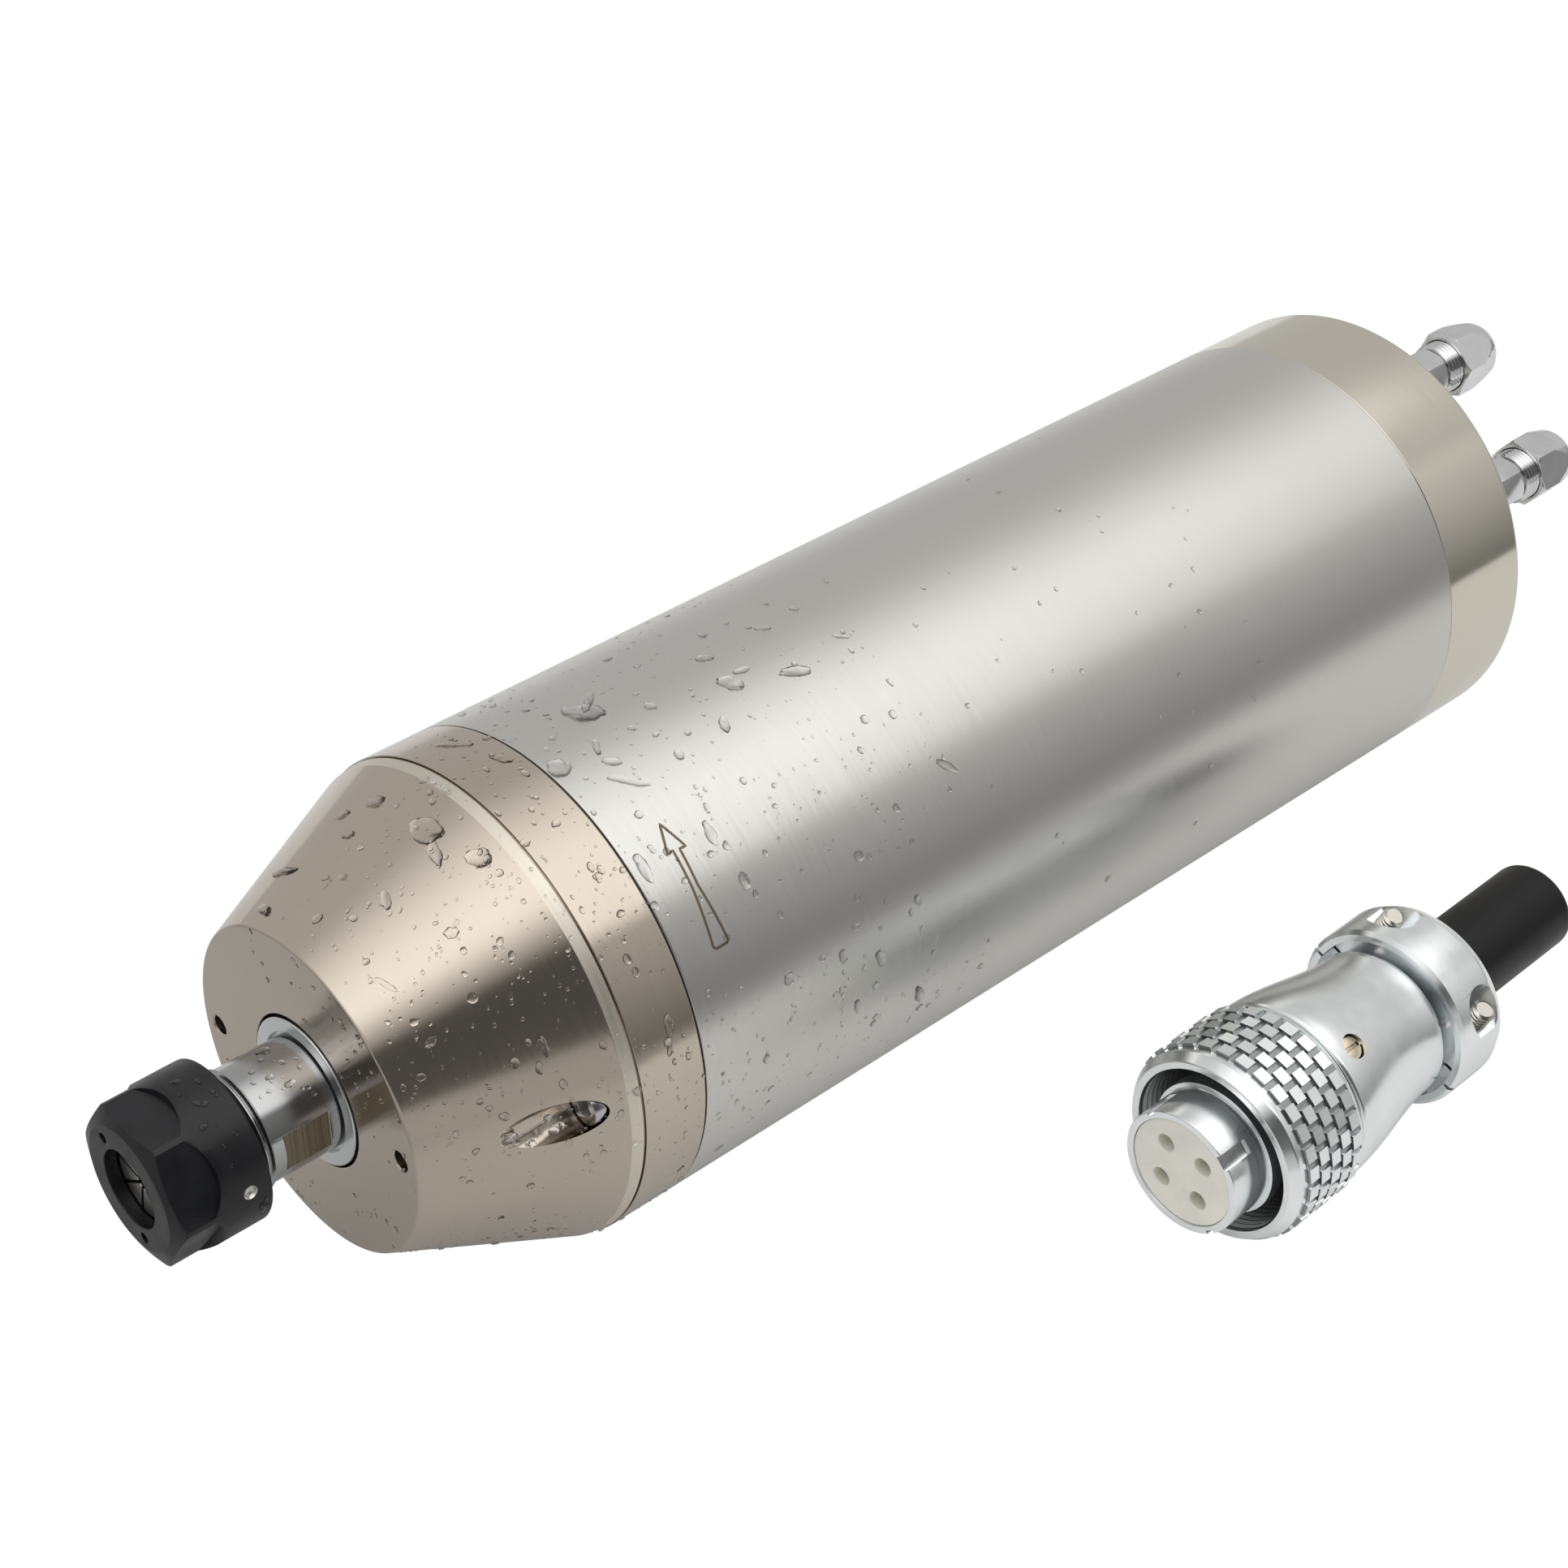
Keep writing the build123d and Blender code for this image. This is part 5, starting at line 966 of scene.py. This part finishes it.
class SPINDLE_OT_plug(bpy.types.Operator):
    """Builds the loose power plug with its knurled ring, shell, clamp and rubber sleeve"""
    bl_idname = "spindle.plug"
    bl_label = "Power plug"

    def execute(self, context):
        finishes = context.scene.spindle_finishes
        bright = plated_metal("plug_bright_plating", finishes.plating[:], 0.20, 0.15, 0.12)
        ivory = bpy.data.materials["insulator_ivory"]
        brass = bpy.data.materials["pin_brass"]
        sleeve = turned("plug_sleeve_skin", [
            (-0.3, 11.75, 0.15), (-0.3, 13.3, 0.3), (9.6, 13.3), (9.6, 14.2, 0.2), (13.0, 14.2, 0.2),
            (13.0, 13.3), (22.0, 13.3), (22.0, 17.2, 0.2), (24.3, 17.2, 0.2), (24.3, 11.75)],
            128, longest=1.5)
        keys = []
        for degrees, width, depth in ((137, 3.0, 1.2), (50, 2.0, 0.8), (230, 2.0, 0.8)):
            key = block("keyway", (-1.3, 13.3 - depth, -width / 2), (6.6, 15.0, width / 2))
            keys.append(moved(key, about_x(degrees)))
        carve(sleeve, keys)
        broken_edges(sleeve, 0.12, 30.0)
        plugged(sleeve, bright, "plug_nickel", "plug_sleeve", 35.0)
        # Painted shade: a darker copy of the plating, 0.38 of its colour, on the sleeve's faces behind the
        # coupling ring, where shade falls.
        painted_shade_plating = plated_metal("plug_painted_shade_plating", shade(finishes.plating[:], 0.38), 0.34, 0.2)
        painted_shade_where(sleeve, painted_shade_plating, lambda x, r, out: x > 9.7 and r > 13.0)
        insert = turned("plug_insert_skin", [(0, 0), (0, 11.7, 0.3), (20, 11.7), (20, 0)], 96, longest=1.5)
        carve(insert, [turned("contact_hole", [
            (-1, 0), (-1, 2.3), (0.0, 2.15), (0.25, 1.95), (21, 1.95), (21, 0)], 40,
            polar(6.3, degrees)) for degrees in (47, 137, 227, 317)])
        plugged(insert, ivory, "ivory", "plug_insert")
        dressed("plug_contacts", brass, "plug", "brass")
        self.coupling_ring(bright)
        self.shell(bright)
        for node in ("plug_clamp_base", "plug_clamp_saddle"):
            dressed(node, bright, "plug", "plug_nickel", 0.35, 26.0, 42.0, 3, flat_faced)
        self.clamp_screws()
        old_brass = plated_metal("set_screw_brass", (0.66, 0.56, 0.42), 0.26, 0.2, 0.0, 3.0)
        dressed("plug_set_screw", old_brass, "plug", "brass", 0.12, 35.0, 35.0)
        rubber = moulded("sleeve_rubber", (0.004, 0.004, 0.0045), 0.38, 0.2, 1.0, 0.28)
        boot = turned("plug_boot_skin", [
            (68.0, 6.2), (68.0, 9.7), (116.5, 9.7, 1.2), (116.5, 6.2, 0.8)], 128, longest=6.0)
        plugged(boot, rubber, "rubber", "plug_boot", 45.0)
        return {"FINISHED"}

    def clamp_screws(self):
        """Two screws across the clamp, thread ends up, slotted heads below."""
        steel = plated_metal("clamp_screw_steel", (0.62, 0.60, 0.55), 0.22, 0.15, 0.0, 2.0)
        profile = ((0.0, 2.4), (-0.12, 2.4), (-0.45, 1.86), (-0.57, 1.86))
        pair = []
        for side in (-12.8, 12.8):
            screw = turned("clamp_screw", [
                (15.2, 0), (15.2, 1.7), (14.9, 2.0), *thread(14.7, -0.9, 26, profile), (-8.7, 2.35),
                (-8.9, 4.2, 0.3), (-11.0, 4.2, 0.5), (-11.0, 0.0)], 40)
            carve(screw, [block("slot", (-12, -5, -0.45), (-10.1, 5, 0.45))])
            pair.append(stood(screw, (71.6, side, 0), 114))
        pair = merged("plug_clamp_screws_skin", pair)
        plugged(pair, steel, "screw_steel", "plug_clamp_screws", 30.0)

    def coupling_ring(self, metal):
        """The ring's body with the bricks of its knurl."""
        low = 20.56
        ring = turned("plug_ring_body", [
            (8.4, 17.75, 0.2), (8.4, 19.3, 0.25), (10.4, 20.6, 0.3), (12.0, low, 0.1), (28.6, low, 0.1),
            (28.6, 20.9, 0.1), (30.2, 20.1, 0.4), (30.2, 15.6, 0.2), (24.6, 15.6), (24.6, 17.45),
            *thread(24.2, -1.5, 10, ((0.0, 17.45, 0.03), (-0.65, 18.1, 0.03), (-1.3, 17.45, 0.03)))], 180)
        whole = merged("plug_ring_skin", [ring, self.knurl(low)])
        plugged(whole, metal, "plug_nickel", "plug_coupling_nut", 35.0, "plug_ring")

        # Painted shade: the faces inside the ring and the floor between the knurl bricks take the darker
        # plating, where shade falls in these recesses.
        def chosen(x, r, out):
            inside = r < 18.3 and out < 0.5 and x > 8.6
            between_bricks = abs(r - low) < 0.03 and 12.2 < x < 28.4
            return inside or between_bricks

        painted_shade_where(whole, bpy.data.materials["plug_painted_shade_plating"], chosen)

    def knurl(self, low):
        """Staggered rows of raised bricks round the ring, by geometry nodes."""
        bm = bmesh.new()
        bm.verts.new((0, 0, 0))
        seed = mesh_object("plug_ring_knurl", bm)
        inputs = (("Rows", "Int", 5), ("Count", "Int", 30), ("Radius", "Float", low * MM),
                  ("Start", "Float", 12.0 * MM), ("Pitch", "Float", 3.32 * MM),
                  ("Length", "Float", 2.8 * MM), ("Width", "Float", 3.3 * MM),
                  ("Height", "Float", 1.36 * MM))
        tree, ids = node_group("brick_knurl", [row[:2] for row in inputs])
        given = wired(tree, "NodeGroupInput").outputs

        def calc(*terms):
            return reckoned(tree, *terms)

        index = wired(tree, "GeometryNodeInputIndex").outputs["Index"]
        row = calc("FLOOR", calc("DIVIDE", index, given["Count"]))
        column = calc("MODULO", index, given["Count"])
        shift = calc("MULTIPLY", calc("MODULO", row, 2.0), 0.5)
        angle = calc("DIVIDE", calc("MULTIPLY", calc("ADD", column, shift), math.tau), given["Count"])
        place = wired(tree, "ShaderNodeCombineXYZ", {
            "X": calc("ADD", given["Start"], calc("MULTIPLY", calc("ADD", row, 0.5), given["Pitch"])),
            "Y": calc("MULTIPLY", given["Radius"], calc("COSINE", angle)),
            "Z": calc("MULTIPLY", given["Radius"], calc("SINE", angle))})
        points = wired(tree, "GeometryNodePoints", {
            "Count": calc("MULTIPLY", given["Rows"], given["Count"]), "Position": place.outputs["Vector"]})
        size = wired(tree, "ShaderNodeCombineXYZ", {
            "X": given["Length"], "Y": given["Height"], "Z": given["Width"]})
        brick = wired(tree, "GeometryNodeMeshCube", {"Size": size.outputs["Vector"]})
        normal = wired(tree, "GeometryNodeInputNormal").outputs["Normal"]
        split = wired(tree, "ShaderNodeSeparateXYZ", {"Vector": normal})
        top = wired(tree, "FunctionNodeCompare", {"A": split.outputs["Y"], "B": 0.5},
                    operation="GREATER_THAN")
        tapered = wired(tree, "GeometryNodeScaleElements", {
            "Geometry": brick.outputs["Mesh"], "Selection": top.outputs["Result"], "Scale": 0.92})
        turn = wired(tree, "ShaderNodeCombineXYZ", {"X": angle})
        rotation = wired(tree, "FunctionNodeEulerToRotation", {"Euler": turn.outputs["Vector"]})
        spread = wired(tree, "GeometryNodeInstanceOnPoints", {
            "Points": points.outputs["Points"], "Instance": tapered.outputs["Geometry"],
            "Rotation": rotation.outputs["Rotation"]})
        real = wired(tree, "GeometryNodeRealizeInstances", {"Geometry": spread.outputs["Instances"]})
        return run_group(seed, tree, real.outputs["Geometry"], bpy.data.materials["plug_bright_plating"],
                         ids, [value for label, kind, value in inputs])

    def shell(self, metal):
        corners = [(24.6, 12.2), (24.6, 15.3), (30.5, 15.3), (30.5, 20.3, 0.9)]
        for k in range(1, 12):
            t = k / 12
            x = 31.4 + t * (60.6 - 31.4)
            ease = t * t * (3 - 2 * t)
            corners.append((x, 20.3 + (16.4 - 20.3) * ease))
        corners += [(61.3, 16.4), (62.5, 15.2, 0.5), (67.6, 15.2), (67.6, 12.2)]
        shell = turned("plug_shell_skin", corners, 160, longest=1.6)
        hole = turned("set_screw_hole", [(0, 0), (0, 2.65), (7.6, 2.65), (14.0, 2.65), (14.0, 0)], 48)
        carve(shell, [stood(hole, (36.4, 0, 10.0), 124)])
        plugged(shell, metal, "plug_nickel", "plug_shell", 35.0)


class SPINDLE_OT_rotation_mark(bpy.types.Operator):
    """Engraves the outline arrow that shows which way the shaft turns"""
    bl_idname = "spindle.rotation_mark"
    bl_label = "Rotation arrow"

    def execute(self, context):
        radius = context.scene.spindle_body.body_radius + 0.00001
        outline = [(64.1, 121.0), (61.9, 127.4), (63.3, 127.3), (62.9, 136.0), (61.7, 149.0),
                   (62.2, 149.6), (64.9, 149.6), (65.2, 149.0), (64.2, 136.0), (64.7, 127.6), (66.1, 127.7)]
        mm_per_degree, longest, half = 0.87, 0.5, 0.27
        points = []
        for i, (x, degrees) in enumerate(outline):
            nx, nd = outline[(i + 1) % len(outline)]
            parts = max(1, round(math.hypot(nx - x, (nd - degrees) * mm_per_degree) / longest))
            for k in range(parts):
                points.append((x + (nx - x) * k / parts, degrees + (nd - degrees) * k / parts))
        flat = [Vector((x, d * math.radians(1) * BODY_R)) for x, d in points]
        bm = bmesh.new()
        rims = []
        for i, p in enumerate(flat):
            along = (flat[(i + 1) % len(flat)] - flat[i - 1]).normalized()
            side = Vector((-along.y, along.x)) * half
            pair = []
            for q in (p - side, p + side):
                a = q.y / BODY_R
                pair.append(bm.verts.new((q.x * MM, radius * math.cos(a), radius * math.sin(a))))
            rims.append(pair)
        for i, pair in enumerate(rims):
            other = rims[(i + 1) % len(rims)]
            bm.faces.new((pair[0], other[0], other[1], pair[1]))
        mark = mesh_object("rotation_arrow_mark", bm)
        centre = mark.data.polygons[0].center
        if mark.data.polygons[0].normal.dot(Vector((0, centre.y, centre.z))) < 0:
            mark.data.flip_normals()
        tint = turned_metal("engraved_line", (0.20, 0.165, 0.115), 0.5, 0.0, 0.3, 0.15, 2.0)
        finished(shaded(mark), tint, "spindle", "tube_steel")
        return {"FINISHED"}


class SPINDLE_OT_inner_works(bpy.types.Operator):
    """Finishes the bearings, the motor stack and the other inner pieces"""
    bl_idname = "spindle.inner_works"
    bl_label = "Inner works"

    def execute(self, context):
        bearing = turned_metal("bearing_ring_steel", (0.55, 0.55, 0.56), 0.15, 0.3)
        brown = moulded("cage_brown", (0.16, 0.07, 0.03), 0.45)
        grey = turned_metal("housing_grey_steel", (0.42, 0.42, 0.42), 0.3, 0.4, 0.2)
        alloy = turned_metal("jacket_alloy", (0.62, 0.63, 0.65), 0.34, 0.4, 0.2)
        finishes = {
            "water_jacket": alloy,
            "jacket_o_rings": bpy.data.materials["seal_black"],
            "stator_core": stacked_sheets("stator_sheets", (0.30, 0.31, 0.33), 0.4),
            "stator_windings": wound_wire("winding_copper", (0.62, 0.26, 0.12), 0.3),
            "rotor_core": stacked_sheets("rotor_sheets", (0.34, 0.35, 0.37), 0.35),
            "rotor_end_rings": alloy,
            "front_bearing_outer_rings": bearing, "front_bearing_inner_rings": bearing,
            "front_bearing_balls": bearing, "front_bearing_cages": brown,
            "rear_bearing_outer_rings": bearing, "rear_bearing_inner_rings": bearing,
            "rear_bearing_balls": bearing, "rear_bearing_cages": brown,
            "rear_lock_nut": bpy.data.materials["nut_black_oxide"],
            "rear_bearing_housing": grey, "preload_spring": bearing, "preload_plate": grey,
            "fitting_ferrule_upper": bpy.data.materials["pin_brass"],
            "fitting_ferrule_lower": bpy.data.materials["pin_brass"],
        }
        for node, material in finishes.items():
            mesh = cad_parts[node].data
            if not mesh.materials:
                mesh.materials.append(material)
            for i in range(len(mesh.materials)):
                mesh.materials[i] = material
        return {"FINISHED"}


class SPINDLE_OT_water_drops(bpy.types.Operator):
    """Scatters drops of water over the nose, the tube, the shaft and the nut"""
    bl_idname = "spindle.water_drops"
    bl_label = "Water drops"

    def execute(self, context):
        water = context.scene.spindle_water
        self.material = clear_water("water_drops", 0.01)
        cone = [(2.0, 34.3), (35.4, 49.04), (36.6, 49.7), (38.3, 49.7)]
        face = [(0.0, 17.0), (0.0, 32.6)]

        def straight(start, end, radius=BODY_R):
            return [(start, radius), (end, radius)]

        band, front, far = straight(39.6, 52.8), straight(53.9, 128.0), straight(128.0, 215.0)
        d, s, seed = water.density, water.size, water.seed
        scatters = (
            ("nose_drops", cone, (78, 262), 1.9, 1.15, 0.36, "spindle"),
            ("nose_small_drops", cone, (78, 262), 5.5, 0.46, 0.45, "spindle"),
            ("band_drops", band, (66, 240), 2.4, 1.1, 0.36, "spindle"),
            ("band_small_drops", band, (66, 240), 5.5, 0.45, 0.45, "spindle"),
            ("face_drops", face, (60, 340), 4.2, 0.85, 0.42, "spindle"),
            ("tube_drops", front, (56, 205), 1.1, 1.15, 0.34, "spindle"),
            ("tube_small_drops", front, (56, 205), 3.4, 0.42, 0.42, "spindle"),
            ("far_drops", far, (62, 190), 0.36, 0.85, 0.36, "spindle"),
            ("run_drops_a", straight(74.6, 76.0), (154, 174), 60.0, 0.66, 0.45, "spindle"),
            ("run_drops_b", straight(87.0, 88.6), (162, 186), 50.0, 0.66, 0.45, "spindle"),
            ("shaft_drops", straight(-13.5, -1.8, SHAFT_R), (66, 150), 9.0, 0.6, 0.42, "rotor"),
            ("nut_drops", straight(-27.0, -19.4, NUT_R), (70, 225), 4.0, 0.66, 0.5, "collet_nut"),
        )
        for step, (name, line, (start, end), amount, size, tall, body) in enumerate(scatters):
            self.scatter(name, line, start, end, (d * amount, s * size, tall, seed + step), body)
        self.placed("large_tube_drops", TUBE_DROPS, 0.0, BODY_R, "spindle")
        self.placed("large_nose_drops", NOSE_DROPS, math.atan2(15.9, 36.0), 33.4, "spindle")
        self.placed("large_shaft_drops", SHAFT_DROPS, 0.0, SHAFT_R, "rotor")
        self.placed("large_nut_drops", NUT_DROPS, 0.0, NUT_R, "collet_nut")
        return {"FINISHED"}

    def placed(self, name, drops, slope, radius, body):
        """The larger drops, each drawn out along its own way over the surface."""
        bm = bmesh.new()
        for x, degrees, long, wide, turn in drops:
            a, t = math.radians(degrees), math.radians(turn)
            out = Vector((0, math.cos(a), math.sin(a)))
            along = Vector((math.cos(slope), 0, 0)) + out * math.sin(slope)
            side = Vector((0, -math.sin(a), math.cos(a)))
            normal = along.cross(side)
            if normal.dot(out) < 0:
                normal = -normal
            long_way = along * math.cos(t) + side * math.sin(t)
            wide_way = side * math.cos(t) - along * math.sin(t)
            middle = Vector((x, 0, 0)) + out * (radius + x * math.tan(slope))
            ball = bmesh.ops.create_icosphere(bm, subdivisions=3, radius=1.0)["verts"]
            for vert in ball:
                p = vert.co.copy()
                ripple = ripples.noise_vector(p * 1.3 + Vector((x, degrees, turn)))
                p = Vector((p.x * long, p.y * wide, p.z * min(0.75, 0.42 * wide)))
                across = p.x * math.sin(t) + p.y * math.cos(t)
                q = middle + long_way * p.x + wide_way * p.y + normal * p.z
                q += (ripple - normal * ripple.dot(normal) * 0.6) * wide * 0.42
                vert.co = (q - normal * across * across * 0.5 / radius) * MM
        finished(shaded(mesh_object(name, bm), 80.0), self.material, body, "fitting_chrome")

    def strip(self, name, line, start, end):
        """A strip of the surface that the drops lie on."""
        bm = bmesh.new()
        steps = 48
        rows = []
        for x, r in line:
            turns = [math.radians(start + (end - start) * k / steps) for k in range(steps + 1)]
            rows.append([bm.verts.new((x * MM, r * MM * math.cos(a), r * MM * math.sin(a)))
                         for a in turns])
        for low, high in zip(rows, rows[1:]):
            for k in range(steps):
                bm.faces.new((low[k], low[k + 1], high[k + 1], high[k]))
        strip = mesh_object(name, bm)
        first = strip.data.polygons[0]
        outward = Vector((0, first.center.y, first.center.z))
        if abs(first.normal.x) > 0.9:
            outward = Vector((-1, 0, 0))
        if first.normal.dot(outward) < 0:
            strip.data.flip_normals()
        return strip

    def scatter(self, name, line, start, end, values, body):
        """Instances flat, lumpy domes on a strip, by geometry nodes."""
        strip = self.strip(name, line, start, end)
        tree, ids = node_group(name, (
            ("Density", "Float"), ("Size", "Float"), ("Height", "Float"), ("Seed", "Int")))
        given = wired(tree, "NodeGroupInput").outputs

        def calc(*terms):
            return reckoned(tree, *terms)

        def chance(low, high, shift):
            return wired(tree, "FunctionNodeRandomValue", {
                2: low, 3: high, "Seed": calc("ADD", given["Seed"], shift)}, data_type="FLOAT").outputs[1]

        def noise(scale):
            where = wired(tree, "GeometryNodeInputPosition").outputs["Position"]
            return wired(tree, "ShaderNodeTexNoise", {"Detail": 1.5, "Scale": scale, "Vector": where}).outputs

        patchy = wired(tree, "ShaderNodeMapRange", {
            "Value": noise(70.0)["Fac"], "From Min": 0.36, "From Max": 0.56})
        spread = wired(tree, "GeometryNodeDistributePointsOnFaces", {
            "Mesh": given["Geometry"], "Density Max": given["Density"],
            "Distance Min": calc("MULTIPLY", given["Size"], 1.7), "Seed": given["Seed"],
            "Density Factor": patchy.outputs["Result"]}, distribute_method="POISSON")
        drop = wired(tree, "GeometryNodeMeshIcoSphere", {
            "Radius": 1.0, "Subdivisions": 3 if values[1] > 0.0013 else 2})
        grown = calc("POWER", chance(0.0, 1.0, 11.0), 1.6)
        wide = calc("MULTIPLY", given["Size"], calc("ADD", calc("MULTIPLY", grown, 0.85), 0.5))
        scale = wired(tree, "ShaderNodeCombineXYZ", {
            "X": calc("MULTIPLY", wide, chance(0.75, 1.2, 5.0)),
            "Y": calc("MULTIPLY", wide, chance(0.8, 1.45, 7.0)),
            "Z": calc("MULTIPLY", wide, given["Height"])})
        instance = wired(tree, "GeometryNodeInstanceOnPoints", {
            "Points": spread.outputs["Points"], "Instance": drop.outputs["Mesh"],
            "Scale": scale.outputs["Vector"], "Rotation": spread.outputs["Rotation"]})
        real = wired(tree, "GeometryNodeRealizeInstances", {"Geometry": instance.outputs["Instances"]})
        middle = wired(tree, "ShaderNodeVectorMath", {
            0: noise(calc("DIVIDE", 0.42, given["Size"]))["Color"], 1: (0.5, 0.5, 0.5)}, operation="SUBTRACT")
        push = wired(tree, "ShaderNodeVectorMath", {
            0: middle.outputs["Vector"], "Scale": calc("MULTIPLY", given["Size"], 1.3)}, operation="SCALE")
        lumpy = wired(tree, "GeometryNodeSetPosition", {
            "Geometry": real.outputs["Geometry"], "Offset": push.outputs["Vector"]})
        run_group(strip, tree, lumpy.outputs["Geometry"], self.material, ids, values)
        finished(shaded(strip, 80.0), self.material, body, "fitting_chrome")


class SPINDLE_PT_panel(bpy.types.Panel):
    """Lists the spindle's pieces and settings"""
    bl_idname = "SPINDLE_PT_panel"
    bl_label = "Motor spindle"
    bl_space_type = "VIEW_3D"
    bl_region_type = "UI"
    bl_category = "Spindle"

    def draw(self, context):
        layout = self.layout
        for group in (context.scene.spindle_body, context.scene.spindle_finishes,
                      context.scene.spindle_water, context.scene.spindle_stage):
            box = layout.box()
            for key in group.__annotations__:
                box.prop(group, key)
        for operator in OPERATORS:
            layout.operator(operator.bl_idname)


GROUPS = (("spindle_body", SpindleBodySizes), ("spindle_finishes", SpindleFinishes),
          ("spindle_water", SpindleWater), ("spindle_stage", SpindleStage))
OPERATORS = (SPINDLE_OT_stage, SPINDLE_OT_body, SPINDLE_OT_shaft_end, SPINDLE_OT_collet_chuck,
             SPINDLE_OT_rear_fittings, SPINDLE_OT_power_socket, SPINDLE_OT_plug, SPINDLE_OT_rotation_mark,
             SPINDLE_OT_inner_works, SPINDLE_OT_water_drops)


def register():
    for key, group in GROUPS:
        bpy.utils.register_class(group)
        setattr(bpy.types.Scene, key, bpy.props.PointerProperty(type=group))
    for operator in OPERATORS:
        bpy.utils.register_class(operator)
    bpy.utils.register_class(SPINDLE_PT_panel)


def unregister():
    bpy.utils.unregister_class(SPINDLE_PT_panel)
    for operator in reversed(OPERATORS):
        bpy.utils.unregister_class(operator)
    for key, group in reversed(GROUPS):
        delattr(bpy.types.Scene, key)
        bpy.utils.unregister_class(group)


def main():
    """Builds the whole picture."""
    register()
    bpy.ops.spindle.stage()
    bpy.ops.spindle.body()
    bpy.ops.spindle.shaft_end()
    bpy.ops.spindle.collet_chuck()
    bpy.ops.spindle.rear_fittings()
    bpy.ops.spindle.power_socket()
    bpy.ops.spindle.plug()
    bpy.ops.spindle.rotation_mark()
    bpy.ops.spindle.inner_works()
    bpy.ops.spindle.water_drops()


if __name__ == "__main__":
    main()
